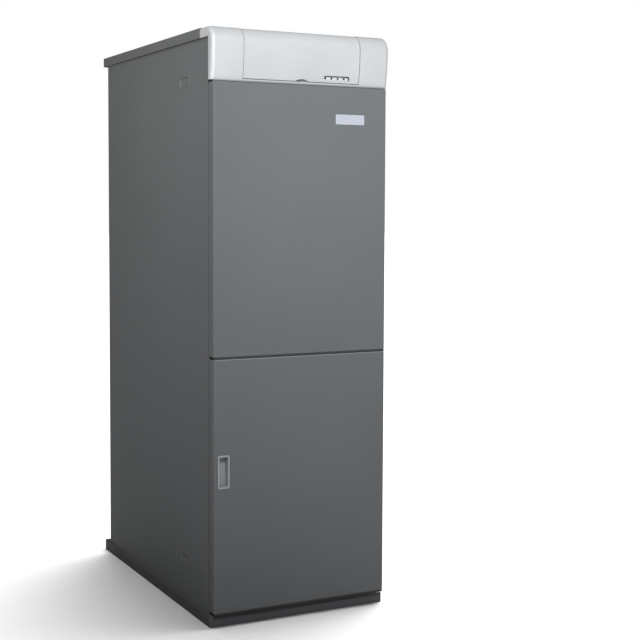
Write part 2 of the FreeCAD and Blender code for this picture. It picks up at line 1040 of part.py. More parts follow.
def hood_frame():
    """Silver hood with an opening for the flap and a cheek each side of it."""
    hood = hood_outside().cut(hood_inside(mirrored(hood_half - hood_end_wall)))
    opening = box(
        mirrored(opening_half), (hood_front - past, opening_rear), (lip_top, overall_height + past)
    )
    hood = hood.cut(opening)
    cheek_depth = (hood_front, flap_hinge_y + cheek_margin)
    tall = (hood_bottom, overall_height)
    cheeks = []
    for side in (-1, 1):
        slab = ordered(side * opening_half, side * (opening_half + top_skin))
        cheeks.append(hood_inside(slab).common(box(slab, cheek_depth, tall)))
    hood = fused(hood, *cheeks)
    pin_bore = rod_x(
        mirrored(opening_half + top_skin + past), flap_hinge_y, flap_hinge_z, flap_pin_radius + press
    )
    return hood.cut(pin_bore)


def window_slot(y, spare):
    """Slot with round ends for the lamps, grown by a spare margin."""
    radius = window_height / 2 + spare
    left = window_left + window_height / 2
    right = window_left + window_length - window_height / 2
    return fused(
        box((left, right), y, around(window_z, radius)),
        rod_y(left, y, window_z, radius),
        rod_y(right, y, window_z, radius),
    )


def control_flap():
    """Curved flap that follows the hood, with a hinge bead along its rear edge."""
    outer, start, end = hood_line(flap_recess, flap_hinge_y, flap_bottom)
    inner, inner_start, inner_end = hood_line(flap_inside, flap_hinge_y, flap_bottom)
    shell = hood_prism(
        outer + inner + straight([end, inner_end]) + straight([start, inner_start]), mirrored(flap_half)
    )
    bead = rod_x(mirrored(flap_half), flap_hinge_y, flap_hinge_z, flap_bead_radius)
    through = (hood_front - past, fascia_front)
    notch_radius = (notch_height ** 2 + (notch_width / 2) ** 2) / (2 * notch_height)
    notch = rod_y(0, through, flap_bottom + notch_height - notch_radius, notch_radius)
    cuts = [window_slot(through, 0), notch]
    for side in (-1, 1):
        reach = ordered(side * (flap_half - flap_pin_grip - past), side * (flap_half + past))
        cuts.append(rod_x(reach, flap_hinge_y, flap_hinge_z, flap_pin_radius + running))
    return fused(shell, bead).cut(cuts)


def flap_pins():
    """Two pins, fast in the hood's cheeks, that the flap turns on."""
    pins = []
    for side in (-1, 1):
        reach = ordered(side * (flap_half - flap_pin_grip), side * (opening_half + top_skin))
        pins.append(rod_x(reach, flap_hinge_y, flap_hinge_z, flap_pin_radius))
    return group(pins)


def indicator_strip():
    """Light strip that stands on the fascia just behind the window."""
    front = front_y(window_bottom - strip_margin, flap_inside) + strip_flap_gap
    return box(
        (window_left - strip_margin, window_left + window_length + strip_margin),
        (front, fascia_front),
        (window_bottom - strip_margin, window_bottom + window_height + strip_margin),
    )


def indicator_lamps():
    """Row of lamp lenses on the strip's face."""
    front = front_y(window_bottom - strip_margin, flap_inside) + strip_flap_gap
    lamps = []
    for index in range(lamp_count):
        x = window_left + lamp_first + lamp_pitch * index
        lamps.append(rod_y(x, (front - lamp_proud, front), window_z, lamp_radius))
    return group(lamps)


# Controls

def fascia():
    """Control plate with knob bosses and switch rims."""
    plate = box(mirrored(opening_half), (fascia_front, fascia_rear), (fascia_bottom, fascia_top))
    through = (fascia_front - switch_proud - past, fascia_rear + knob_boss_length + past)
    adds = []
    cuts = []
    for x in (boiler_knob_x, hot_water_knob_x):
        adds.append(rod_y(x, (fascia_rear, fascia_rear + knob_boss_length), control_z, knob_boss_radius))
        cuts.append(rod_y(x, through, control_z, knob_shaft_radius + running))
    half_hole = rocker_width / 2 + rocker_side_gap
    tall_hole = rocker_height / 2 + rocker_end_gap
    for x in (main_rocker_x, season_rocker_x):
        adds.append(box(
            around(x, half_hole + switch_rim),
            (fascia_front - switch_proud, fascia_front),
            around(control_z, tall_hole + switch_rim),
        ))
        cuts.append(box(around(x, half_hole), through, around(control_z, tall_hole)))
        pin_half = half_hole + rocker_pin_grip
        cuts.append(rod_x(around(x, pin_half), fascia_front, control_z, rocker_pin_radius + running))
    cuts.append(rod_y(limit_button_x, through, control_z, limit_button_radius + moving))
    cuts.append(rod_y(gauge_x, through, control_z, gauge_radius + press))
    return fused(plate, *adds).cut(cuts)


def control_box():
    """Electrical box behind the fascia, open towards it."""
    half = opening_half - control_box_side_gap
    low = fascia_bottom + control_box_end_gap
    high = fascia_top - control_box_end_gap
    rear = fascia_rear + control_box_depth
    block = box(mirrored(half), (fascia_rear, rear), (low, high))
    hollow = box(
        mirrored(half - control_box_wall),
        (fascia_rear - past, rear - control_box_wall),
        (low + control_box_wall, high - control_box_wall),
    )
    return block.cut(hollow)


def thermostat_knob(x):
    """Round knob with a grip ridge, on its shaft."""
    rear = fascia_front - knob_lift
    front = rear - knob_length
    dial = rod_y(x, (front, rear), control_z, knob_radius)
    rim = [edge for edge in dial.Edges if len(edge.Vertexes) == 1 and edge.BoundBox.YMax < front + past]
    dial = dial.makeFillet(knob_edge, rim)
    ridge = box(
        around(x, knob_ridge / 2),
        (front - knob_ridge_height, front + past),
        around(control_z, knob_radius - knob_ridge_height),
    )
    shaft = rod_y(x, (rear - past, fascia_rear + knob_boss_length), control_z, knob_shaft_radius)
    return fused(dial, ridge, shaft)


def rocker(x):
    """Rocker on two short pins, tipped to its off side."""
    half = rocker_height / 2
    y = fascia_front
    corners = [
        point(x - rocker_width / 2, y - rocker_front, control_z - half),
        point(x - rocker_width / 2, y - rocker_front + rocker_dip, control_z),
        point(x - rocker_width / 2, y - rocker_front, control_z + half),
        point(x - rocker_width / 2, y + rocker_back, control_z + half - rocker_dip),
        point(x - rocker_width / 2, y + rocker_back, control_z - half + rocker_dip),
    ]
    key = Part.Face(Part.makePolygon(corners + corners[:1])).extrude(point(rocker_width, 0, 0))
    pin_half = rocker_width / 2 + rocker_side_gap + rocker_pin_grip - moving
    key = fused(key, rod_x(around(x, pin_half), y, control_z, rocker_pin_radius))
    key.rotate(point(x, y, control_z), x_axis, -rocker_tilt)
    return key


def limit_button():
    """Reset button of the overheat stat, kept by a rim behind the fascia."""
    front = fascia_front - limit_button_proud
    rim_front = fascia_rear + limit_button_lift
    stem = rod_y(limit_button_x, (front, front + limit_button_length), control_z, limit_button_radius)
    rim = rod_y(
        limit_button_x,
        (rim_front, rim_front + limit_button_flange),
        control_z,
        limit_button_radius + limit_button_rim,
    )
    return fused(stem, rim)


def gauge_case():
    """Round gauge can with a front rim and a dial plate inside."""
    front = fascia_front - gauge_proud
    inside = gauge_radius - gauge_wall
    can = fused(
        rod_y(gauge_x, (front, fascia_front), control_z, gauge_radius + gauge_rim),
        rod_y(gauge_x, (front, fascia_front + gauge_depth), control_z, gauge_radius),
    )
    dial_back = fascia_front + gauge_wall
    spindle = rod_y(
        gauge_x, (front, fascia_front + gauge_depth - gauge_wall), control_z, needle_spindle_radius + running
    )
    return can.cut([
        rod_y(gauge_x, (front - past, fascia_front), control_z, inside),
        rod_y(gauge_x, (dial_back, fascia_front + gauge_depth - gauge_wall), control_z, inside),
        spindle,
    ])


def gauge_needle():
    """Pointer on its spindle, in front of the dial."""
    rear = fascia_front - needle_lift
    front = rear - needle_thickness
    pointer = box(
        around(gauge_x, needle_width / 2),
        (front, rear),
        (control_z - needle_hub_radius, control_z + needle_length),
    )
    hub = rod_y(gauge_x, (front, rear), control_z, needle_hub_radius)
    spindle_reach = (rear - needle_thickness, fascia_front + needle_spindle_length)
    spindle = rod_y(gauge_x, spindle_reach, control_z, needle_spindle_radius)
    needle = fused(pointer, hub, spindle)
    needle.rotate(point(gauge_x, rear, control_z), y_axis, -needle_rest_turn)
    return needle


def gauge_lens():
    """Flat lens seated in the gauge's rim."""
    front = fascia_front - gauge_proud + gauge_lens_inset
    return rod_y(gauge_x, (front, front + gauge_lens_thickness), control_z, gauge_radius - gauge_wall - press)


# Boiler

def boiler_body():
    """Cast body with a round chamber, flue ways above it and a water way round both."""
    long_way = (body_front, body_rear)
    block = box(mirrored(body_half), long_way, (body_bottom, body_top))
    for index in range(1, body_sections):
        y = body_front + body_depth * index / body_sections
        slab = around(y, section_groove / 2)
        groove = box(mirrored(body_half + past), slab, (body_bottom - past, body_top + past)).cut(box(
            mirrored(body_half - section_groove_depth),
            around(y, section_groove),
            (body_bottom + section_groove_depth, body_top - section_groove_depth),
        ))
        block = block.cut(groove)
    feet = []
    foot_outside = body_half - body_foot_inset
    foot_length = (body_front + body_foot_inset, body_rear - body_foot_inset)
    for side in (-1, 1):
        x = ordered(side * foot_outside, side * (foot_outside - body_foot_width))
        feet.append(box(x, foot_length, (plinth_height, body_bottom)))
    block = fused(block, *feet)

    ways_half = way_pitch * (way_count - 1) / 2 + way_width / 2
    water = box(
        mirrored(body_half - body_wall),
        (body_front + body_wall, body_rear - body_wall),
        (body_bottom + body_wall, body_top - body_wall),
    ).cut([
        rod_y(0, (body_front, body_front + chamber_depth + body_wall), chamber_z, chamber_radius + body_wall),
        box(
            mirrored(turn_width / 2 + body_wall),
            (body_front, body_front + turn_depth + body_wall),
            (chamber_z, way_top + body_wall),
        ),
        box(mirrored(ways_half + body_wall), long_way, (way_bottom - body_wall, way_top + body_wall)),
    ])
    top_wall = (body_top - body_wall - past, body_top + past)
    cuts = [
        water,
        rod_y(0, (body_front - past, body_front + chamber_depth), chamber_z, chamber_radius),
        box(mirrored(turn_width / 2), (body_front - past, body_front + turn_depth), (chamber_z, way_top)),
        rod_z(0, flow_y, top_wall, pipe_radius),
        rod_z(-pump_x, jacket_return_y, top_wall, pipe_radius - pipe_wall),
        rod_y(return_x, (body_rear - body_wall - past, body_rear + past), return_z, pipe_radius - pipe_wall),
    ]
    way_length = (body_front + turn_depth - past, body_rear + past)
    for x in way_centres:
        cuts.append(box(around(x, way_width / 2), way_length, (way_bottom, way_top)))
    stud_length = (body_front - past, body_front + stud_grip)
    for side in (-1, 1):
        for z in nut_levels:
            cuts.append(rod_y(side * nut_x, stud_length, z, stud_radius + press))
    return block.cut(cuts)


def boiler_jacket():
    """Insulating boards over the body's top and sides."""
    half = body_half + jacket_board
    long_way = (body_front + jacket_end_inset, body_rear - jacket_end_inset)
    boards = box(mirrored(half), long_way, (body_bottom, body_top + jacket_board))
    hollow = box(
        mirrored(body_half + moving),
        (body_front, body_rear),
        (body_bottom - past, body_top),
    )
    holes = (body_top - past, body_top + jacket_board + past)
    return boards.cut([
        hollow,
        rod_z(0, flow_y, holes, manifold_radius + moving),
        rod_z(-pump_x, jacket_return_y, holes, pipe_radius + moving),
    ])


def plate_outline(y):
    return box(mirrored(plate_half), y, (plate_low, plate_high))


def stud_holes(y):
    return [rod_y(side * nut_x, y, z, stud_radius + moving) for side in (-1, 1) for z in nut_levels]


def combustion_door():
    """Bolted front plate that carries the burner."""
    through = (plate_front - past, plate_rear + past)
    plate = plate_outline((plate_front, plate_rear))
    return plate.cut(stud_holes(through) + [rod_y(0, through, chamber_z, tube_radius + moving)])


def door_refractory():
    """Fibre lining: a sealing sheet behind the plate and a plug in the chamber's mouth."""
    through = (plate_rear - past, body_front + refractory_depth + past)
    lining = fused(
        plate_outline((plate_rear, body_front)),
        rod_y(0, (plate_rear, body_front + refractory_depth), chamber_z, chamber_radius - refractory_gap),
    )
    return lining.cut(stud_holes(through) + [rod_y(0, through, chamber_z, tube_radius + moving)])


def door_nuts():
    """Studs and nuts that hold the front plate to the body."""
    nuts = []
    for side in (-1, 1):
        for z in nut_levels:
            x = side * nut_x
            nut = hexagon_y(x, (plate_front - nut_height, plate_front), z, nut_radius)
            stud = rod_y(x, (plate_front - nut_height - stud_end, body_front + stud_grip), z, stud_radius)
            nuts.append(fused(nut, stud))
    return group(nuts)


def flue_hood():
    """Smoke box behind the body with its round spigot."""
    half = flue_hood_width / 2
    tall = flue_hood_height / 2
    rear = body_rear + flue_hood_depth
    hood = fused(
        box(mirrored(half), (body_rear, rear), around(flue_z, tall)),
        rod_y(0, (rear - flue_hood_wall, flue_end), flue_z, flue_radius),
        rod_y(0, (case_rear, case_rear + flue_bead), flue_z, flue_radius + flue_bead_height),
    )
    return hood.cut([
        box(
            mirrored(half - flue_hood_wall),
            (body_rear - past, rear - flue_hood_wall),
            around(flue_z, tall - flue_hood_wall),
        ),
        rod_y(0, (rear - flue_hood_wall - past, flue_end + past), flue_z, flue_radius - flue_wall),
    ])


def flue_baffles():
    """One strip with bent tabs in each flue way."""
    front = body_front + turn_depth + baffle_inset
    rear = body_rear - baffle_inset
    height = way_top - way_bottom - baffle_inset
    baffles = []
    for x in way_centres:
        strip = box(around(x, baffle_sheet / 2), (front, rear), (way_bottom, way_bottom + height))
        tabs = []
        for index in range(baffle_tabs):
            y = front + (rear - front) * (index + 0.5) / baffle_tabs
            side = 1 if index % 2 == 0 else -1
            tabs.append(box(
                ordered(x, x + side * baffle_tab_reach),
                around(y, baffle_sheet / 2),
                (way_bottom + baffle_tab_margin, way_bottom + height - baffle_tab_margin),
            ))
        baffles.append(fused(strip, *tabs))
    return group(baffles)


# Burner

def burner_housing():
    """Fan scroll with its outlet duct, a platform on top and an air intake below."""
    half = burner_half_width
    inside = half - burner_wall
    duct_low = chamber_z - duct_half_height
    duct_high = chamber_z + duct_half_height
    intake_top = fan_z - scroll_radius + intake_bite
    outer = fused(
        rod_x(mirrored(half), fan_y, fan_z, scroll_radius),
        box(mirrored(half), (fan_y, duct_rear), (duct_low, duct_high)),
        box(mirrored(half), (platform_front, duct_rear), (fan_z, platform_top)),
        box(
            mirrored(intake_half_width), around(fan_y, intake_half_length), (intake_bottom, intake_top)
        ),
    )
    shaft = rod_x(mirrored(half + past), fan_y, fan_z, shaft_hole_radius)
    damper_bore = rod_x(mirrored(intake_half_width + past), fan_y, damper_z, damper_rod_radius + running)
    return outer.cut([
        rod_x(mirrored(inside), fan_y, fan_z, scroll_radius - burner_wall),
        box(
            mirrored(inside),
            (fan_y, duct_rear - burner_wall),
            (duct_low + burner_wall, duct_high - burner_wall),
        ),
        box(
            mirrored(intake_half_width - intake_wall),
            around(fan_y, intake_half_length - intake_wall),
            (intake_bottom - past, intake_top + burner_wall),
        ),
        rod_y(0, (duct_rear - burner_wall - past, duct_rear + past), chamber_z, tube_radius + press),
        shaft,
        damper_bore,
    ])


def blast_tube():
    """Tube that carries the flame into the chamber, with its fixing flange."""
    outer = fused(
        rod_y(0, (duct_rear - burner_wall, tube_end), chamber_z, tube_radius),
        box(
            mirrored(tube_flange_half),
            (plate_front - tube_flange, plate_front),
            around(chamber_z, tube_flange_half),
        ),
    )
    return outer.cut(rod_y(0, (duct_rear - burner_wall - past, tube_end + past), chamber_z, tube_inner))


def burner_motor():
    """Finned motor housing on the scroll's right side."""
    start = burner_half_width
    inside = motor_radius - motor_wall
    housing = fused(
        rod_x((start, motor_end), fan_y, fan_z, motor_radius),
        rod_x((motor_end, motor_end + motor_cap), fan_y, fan_z, motor_radius - motor_cap_inset),
    )
    cuts = [
        rod_x((start + motor_wall, motor_end - motor_wall), fan_y, fan_z, inside),
        rod_x((start - past, motor_end), fan_y, fan_z, shaft_radius + running),
    ]
    pitch = motor_length / (motor_fins + 1)
    for index in range(1, motor_fins + 1):
        x = start + pitch * index
        ring = rod_x(around(x, motor_fin_groove / 2), fan_y, fan_z, motor_radius + past)
        core = rod_x(around(x, motor_fin_groove), fan_y, fan_z, motor_radius - motor_fin_depth)
        cuts.append(ring.cut(core))
    return housing.cut(cuts)


def motor_rotor():
    """Rotor on the shaft that also turns the fan and the oil pump."""
    middle = burner_half_width + motor_length / 2
    return fused(
        rod_x((pump_end + motor_wall, motor_end - past), fan_y, fan_z, shaft_radius),
        rod_x(
            around(middle, rotor_length / 2), fan_y, fan_z, motor_radius - motor_wall - rotor_gap
        ),
        rod_x(
            (-burner_half_width - coupling_length, -burner_half_width), fan_y, fan_z, coupling_radius
        ),
    )


def burner_fan():
    """Drum fan: a back plate with a hub, a ring of blades and a front ring."""
    half = fan_width / 2
    plate = rod_x((half - fan_sheet, half), fan_y, fan_z, fan_radius)
    hub = rod_x((half - fan_hub_length, half), fan_y, fan_z, fan_hub_radius)
    ring = rod_x((-half, -half + fan_sheet), fan_y, fan_z, fan_radius).cut(
        rod_x((-half - past, -half + fan_sheet + past), fan_y, fan_z, fan_inner_radius)
    )
    blades = []
    blade_reach = (fan_z + fan_inner_radius + past, fan_z + fan_radius - past)
    for index in range(fan_blades):
        blade = box(mirrored(half - fan_sheet / 2), around(fan_y, fan_blade_sheet / 2), blade_reach)
        blade.rotate(point(0, fan_y, fan_z), x_axis, full_turn * index / fan_blades)
        blades.append(blade)
    bore = rod_x(mirrored(half + past), fan_y, fan_z, shaft_radius + press)
    return fused(plate, hub, ring, *blades).cut(bore)


def oil_pump():
    """Oil pump with its valve coil, ports, screw and fuel pipe."""
    start = -burner_half_width
    middle = start - pump_length / 2
    body = box((pump_end, start), around(fan_y, pump_half), around(fan_z, pump_half))
    coil = rod_z(middle, fan_y, (fan_z + pump_half, fan_z + pump_half + solenoid_height), solenoid_radius)
    screw = rod_x((pump_end - pump_screw_length, pump_end), fan_y, fan_z, pump_screw_radius)
    ports = []
    for side in (-1, 1):
        y = fan_y + side * pump_port_pitch / 2
        low = fan_z - pump_half
        ports.append(rod_z(middle, y, (low - pump_port_length, low), pump_port_radius))
    bend_y = fan_y + pump_half + fuel_pipe_run
    lift = fan_z + fuel_pipe_lift
    feed_route = [
        point(middle, fan_y + pump_half - past, lift),
        point(middle, bend_y, lift),
        point(start, bend_y, lift),
    ]
    feed = pipe_run(feed_route, fuel_pipe_radius)
    bores = [
        rod_x((start - pump_bore, start + past), fan_y, fan_z, coupling_radius + past),
        rod_x((pump_end + motor_wall - past, start), fan_y, fan_z, shaft_radius + running),
    ]
    return fused(body, coil, screw, feed, *ports).cut(bores)


def soft_case(x, y, z):
    """Moulded case with its upright edges and its top edges rounded."""
    block = box(x, y, z)
    soft = [edge for edge in block.Edges if edge.BoundBox.ZMax > z[0] + past]
    return block.makeFillet(case_edge, soft)


def ignition_transformer():
    """Ignition transformer on the platform."""
    rear = duct_rear - transformer_rear_gap
    return soft_case(
        mirrored(transformer_width / 2),
        (rear - transformer_length, rear),
        (platform_top, platform_top + transformer_height),
    )


def burner_control():
    """Burner control box on the platform, with a well for its button."""
    case = soft_case(
        mirrored(control_width / 2),
        (control_front, control_front + control_length),
        (platform_top, platform_top + control_tall),
    )
    z = platform_top + control_tall / 2
    well = (control_front - past, control_front + reset_bore_depth)
    return case.cut(rod_y(0, well, z, reset_radius + moving))


def burner_reset_button():
    """Lock-out reset button in the control box."""
    z = platform_top + control_tall / 2
    button = rod_y(0, (control_front - reset_proud, control_front + reset_depth), z, reset_radius)
    rim = [edge for edge in button.Edges if len(edge.Vertexes) == 1 and edge.BoundBox.YMax < control_front]
    return button.makeFillet(reset_edge, rim)


def nozzle_line():
    """Oil line with its spider, electrodes, nozzle and flame disc inside the tube."""
    end = tube_end - nozzle_short_of_tube
    line = rod_y(0, (duct_rear - line_back, end - nozzle_length), chamber_z, line_radius)
    nozzle = hexagon_y(0, (end - nozzle_length, end), chamber_z, nozzle_radius)
    disc = rod_y(0, (end - disc_sheet, end), chamber_z, disc_radius)
    slots = []
    for index in range(disc_slots):
        slot = box(
            around(0, disc_slot_width / 2),
            (end - disc_sheet - past, end + past),
            (chamber_z + disc_slot_start, chamber_z + disc_radius - disc_slot_width),
        )
        slot.rotate(point(0, end, chamber_z), y_axis, full_turn * (index + 0.5) / disc_slots)
        slots.append(slot)
    disc = disc.cut(slots)
    spider_y = duct_rear + spoke_from_neck
    pieces = []
    spoke_length = math.sqrt((tube_inner - press) ** 2 - (spoke_width / 2) ** 2)
    for turn in spoke_turns:
        spoke = box(
            around(0, spoke_width / 2),
            (spider_y, spider_y + spoke_depth),
            (chamber_z, chamber_z + spoke_length),
        )
        spoke.rotate(point(0, spider_y, chamber_z), y_axis, turn)
        pieces.append(spoke)
    electrode_reach = (duct_rear - electrode_back, end + past)
    for turn in electrode_turns:
        rod = rod_y(0, electrode_reach, chamber_z + electrode_circle, electrode_radius)
        rod.rotate(point(0, spider_y, chamber_z), y_axis, turn)
        pieces.append(rod)
    return fused(line, nozzle, disc, *pieces)


def air_damper():
    """Butterfly plate in the air intake, on a rod with a hand lever."""
    half_length = intake_half_length - intake_wall - damper_gap
    half_wide = intake_half_width - intake_wall - damper_gap
    lever_x = intake_half_width + past
    lever_end = lever_x + damper_lever_sheet
    plate = box(mirrored(half_wide), around(fan_y, half_length), around(damper_z, damper_sheet / 2))
    rod = rod_x((-intake_half_width - damper_rod_out, lever_end), fan_y, damper_z, damper_rod_radius)
    lever = box(
        (lever_x, lever_end),
        (fan_y - damper_lever, fan_y + damper_lever_width / 2),
        around(damper_z, damper_lever_width / 2),
    )
    return fused(plate, rod, lever)


# Shelf and tank

def tank_shelf():
    """Folded shelf between the side panels that carries the tank."""
    shelf = fused(
        box(mirrored(inner_half), (flange_back, shelf_rear), (shelf_top - shelf_sheet, shelf_top)),
        box(
            mirrored(inner_half),
            (flange_back, flange_back + shelf_sheet),
            (shelf_top - shelf_flange, shelf_top),
        ),
    )
    through = (shelf_top - shelf_sheet - past, shelf_top + past)
    return shelf.cut([
        rod_z(0, flow_y, through, manifold_radius + shelf_hole_gap),
        rod_z(-pump_x, jacket_return_y, through, pipe_radius + shelf_hole_gap),
    ])


def tank_insulation():
    """Rigid foam shell round the tank's jacket."""
    shell = rod_z(0, tank_y, (shelf_top, insulation_top), insulation_radius)
    into = (jacket_nozzle_front, tank_y)
    return shell.cut([
        rod_z(0, tank_y, (cavity_bottom, cavity_top), cavity_radius),
        rod_z(0, tank_y, (cavity_top - past, insulation_top + past), neck_radius + moving),
        rod_y(pump_x, into, outlet_z, jacket_nozzle_radius + moving),
        rod_y(-pump_x, into, jacket_return_z, jacket_nozzle_radius + moving),
    ])


def tank_jacket():
    """Heating jacket round the tank, with a foot ring and two pipe nozzles."""
    height = tank_jacket_top - tank_jacket_bottom
    base = point(0, tank_y, tank_jacket_bottom)
    inner_base = base + point(0, 0, tank_jacket_wall)
    outer = rounded_drum(base, tank_jacket_radius, height, tank_jacket_dome, z_axis)
    inner = rounded_drum(
        inner_base,
        tank_jacket_radius - tank_jacket_wall,
        height - 2 * tank_jacket_wall,
        tank_jacket_dome - tank_jacket_wall,
        z_axis,
    )
    foot_reach = (cavity_bottom, tank_jacket_bottom + tank_jacket_wall)
    foot = rod_z(0, tank_y, foot_reach, tank_foot_radius).cut(
        rod_z(0, tank_y, (cavity_bottom - past, tank_jacket_bottom), tank_foot_radius - tank_foot_wall)
    )
    side = tank_y - math.sqrt(tank_jacket_radius ** 2 - pump_x ** 2)
    reach = (jacket_nozzle_front, side + 2 * jacket_nozzle_radius)
    outer = fused(
        outer,
        foot,
        rod_y(pump_x, reach, outlet_z, jacket_nozzle_radius),
        rod_y(-pump_x, reach, jacket_return_z, jacket_nozzle_radius),
    )
    bore_reach = (jacket_nozzle_front - past, reach[1] + past)
    bore = pipe_radius - pipe_wall
    crown = (tank_jacket_top - 2 * tank_jacket_wall, tank_jacket_top + past)
    return outer.cut([
        inner,
        rod_y(pump_x, bore_reach, outlet_z, bore),
        rod_y(-pump_x, bore_reach, jacket_return_z, bore),
        rod_z(0, tank_y, crown, neck_radius + press),
    ])


def hot_water_tank():
    """Inner stainless tank with its neck and neck flange."""
    height = tank_top - tank_bottom
    base = point(0, tank_y, tank_bottom)
    outer = fused(
        rounded_drum(base, tank_radius, height, tank_dome, z_axis),
        rod_z(0, tank_y, (tank_top - tank_wall, neck_top), neck_radius),
        rod_z(0, tank_y, (neck_top - neck_flange, neck_top), neck_flange_radius),
    )
    inner = fused(
        rounded_drum(
            base + point(0, 0, tank_wall),
            tank_radius - tank_wall,
            height - 2 * tank_wall,
            tank_dome - tank_wall,
            z_axis,
        ),
        rod_z(0, tank_y, (tank_top - 2 * tank_wall, neck_top + past), neck_radius - neck_wall),
    )
    return outer.cut(inner)


def threaded_stub(x, z):
    """Thicker end of a rear pipe, outside the rear panel."""
    return rod_y(x, (stub_end - stub_thread, stub_end), z, stub_radius)


def tap_pipe(side):
    """Pipe from the tank's lid to a stub behind the rear panel."""
    route = [
        point(side * dip_tube_offset, tank_y, pipe_foot),
        point(side * dip_tube_offset, tank_y, tap_z),
        point(side * tap_stub_x, tap_bend_y, tap_z),
        point(side * tap_stub_x, stub_end, tap_z),
    ]
    outer = fused(pipe_run(route, pipe_radius), threaded_stub(side * tap_stub_x, tap_z))
    return outer.cut(pipe_run(route, pipe_radius - pipe_wall))


def tank_flange():
    """Bolted lid of the tank, and in it the hot and cold pipes, the dip tube and the anode."""
    bolts = []
    for index in range(flange_bolts):
        angle = 2 * math.pi * (index + 0.5) / flange_bolts
        x = flange_bolt_circle * math.sin(angle)
        y = tank_y + flange_bolt_circle * math.cos(angle)
        bolts.append(rod_z(x, y, (flange_top, flange_top + flange_bolt_head), flange_bolt_radius))
    below = (neck_top - past, pipe_foot)
    above = (pipe_foot, flange_top + past)
    anode_y = tank_y - anode_offset
    dip_outer = dip_tube_radius + pipe_wall
    lid = fused(rod_z(0, tank_y, (neck_top, flange_top), neck_flange_radius), *bolts).cut([
        rod_z(-dip_tube_offset, tank_y, below, dip_outer + press),
        rod_z(dip_tube_offset, tank_y, below, pipe_radius - pipe_wall),
        rod_z(-dip_tube_offset, tank_y, above, pipe_radius + press),
        rod_z(dip_tube_offset, tank_y, above, pipe_radius + press),
        rod_z(0, anode_y, (neck_top - past, flange_top + past), anode_radius + press),
    ])
    dip_low = neck_top - dip_tube_length
    dip = rod_z(-dip_tube_offset, tank_y, (dip_low, pipe_foot - press), dip_outer).cut(
        rod_z(-dip_tube_offset, tank_y, (dip_low - past, pipe_foot + past), dip_tube_radius)
    )
    anode = rod_z(0, anode_y, (neck_top - anode_length, flange_top), anode_radius)
    return group([lid, tap_pipe(-1), tap_pipe(1), dip, anode])


# Pipes and pumps

def heating_pipes():
    """Boiler water pipes: flow manifold, pump outlets, jacket return and heating return."""
    riser = [point(0, flow_y, body_top), point(0, flow_y, manifold_z)]
    branch = [
        point(0, flow_y, manifold_z),
        point(0, vessel_y, manifold_z),
        point(0, vessel_y, vessel_nipple_end),
    ]
    header = [
        point(-pump_x, flow_y, pump_low),
        point(-pump_x, flow_y, manifold_z),
        point(pump_x, flow_y, manifold_z),
        point(pump_x, flow_y, pump_low),
    ]
    sizes = ((riser, manifold_radius), (branch, pipe_radius), (header, header_radius))
    manifold = fused(*[pipe_run(route, radius) for route, radius in sizes]).cut(
        fused(*[pipe_run(route, radius - pipe_wall) for route, radius in sizes])
    )
    outlet_route = [
        point(-pump_x, flow_y, pump_high),
        point(-pump_x, flow_y, outlet_z),
        point(-side_run_x, flow_y, outlet_z),
        point(-side_run_x, side_bend_y, outlet_z),
        point(-side_stub_x, side_bend_y + side_bend, outlet_z),
        point(-side_stub_x, stub_end, outlet_z),
    ]
    boss = rod_z(-pump_x, flow_y, (outlet_z, boss_top), boss_radius)
    outlet = fused(pipe_run(outlet_route, pipe_radius), threaded_stub(-side_stub_x, outlet_z), boss).cut(
        pipe_run(outlet_route, pipe_radius - pipe_wall)
    )
    charge = pipe([
        point(pump_x, flow_y, pump_high),
        point(pump_x, flow_y, outlet_z),
        point(pump_x, jacket_nozzle_front, outlet_z),
    ], pipe_radius, pipe_wall)
    jacket_return = pipe([
        point(-pump_x, jacket_nozzle_front, jacket_return_z),
        point(-pump_x, jacket_return_y, jacket_return_z),
        point(-pump_x, jacket_return_y, body_top),
    ], pipe_radius, pipe_wall)
    return_route = [point(return_x, body_rear, return_z), point(return_x, stub_end, return_z)]
    heating_return = fused(pipe_run(return_route, pipe_radius), threaded_stub(return_x, return_z)).cut(
        pipe_run(return_route, pipe_radius - pipe_wall)
    )
    return group([manifold, outlet, charge, jacket_return, heating_return])


def circulator(x):
    """In-line pump: volute, unions, motor and terminal box."""
    motor_reach = (pump_motor_front, pump_motor_rear)
    outer = fused(
        rod_y(x, around(flow_y, volute_half), pump_z, volute_radius),
        rod_z(x, flow_y, (pump_low, pump_high), manifold_radius),
        rod_z(x, flow_y, (pump_low, pump_low + union_height), union_radius),
        rod_z(x, flow_y, (pump_high - union_height, pump_high), union_radius),
        rod_y(x, motor_reach, pump_z, pump_motor_radius),
        box(
            around(x + terminal_x, terminal_width / 2),
            (terminal_front, terminal_front + terminal_length),
            around(pump_z, terminal_height / 2),
        ),
    )
    spindle_bore = rod_y(
        x + terminal_x,
        (terminal_front - past, terminal_front + speed_spindle_length + past),
        pump_z,
        speed_spindle_radius + running,
    )
    return outer.cut([
        rod_y(x, around(flow_y, volute_half - volute_wall), pump_z, volute_radius - volute_wall),
        rod_z(x, flow_y, (pump_low - past, pump_high + past), pipe_radius - pipe_wall),
        spindle_bore,
    ])


def circulators():
    """Heating pump on the left and tank pump on the right."""
    return group([circulator(-pump_x), circulator(pump_x)])


def speed_knob(x):
    """Speed selector on a pump's terminal box."""
    rear = terminal_front - speed_knob_lift
    front = rear - speed_knob_proud
    centre = x + terminal_x
    return fused(
        rod_y(centre, (front, rear), pump_z, speed_knob_radius),
        rod_y(centre, (front, terminal_front + speed_spindle_length), pump_z, speed_spindle_radius),
        box(
            around(centre, speed_knob_ridge / 2),
            (front - speed_knob_ridge_height, front),
            around(pump_z, speed_knob_radius - speed_knob_ridge_height),
        ),
    )


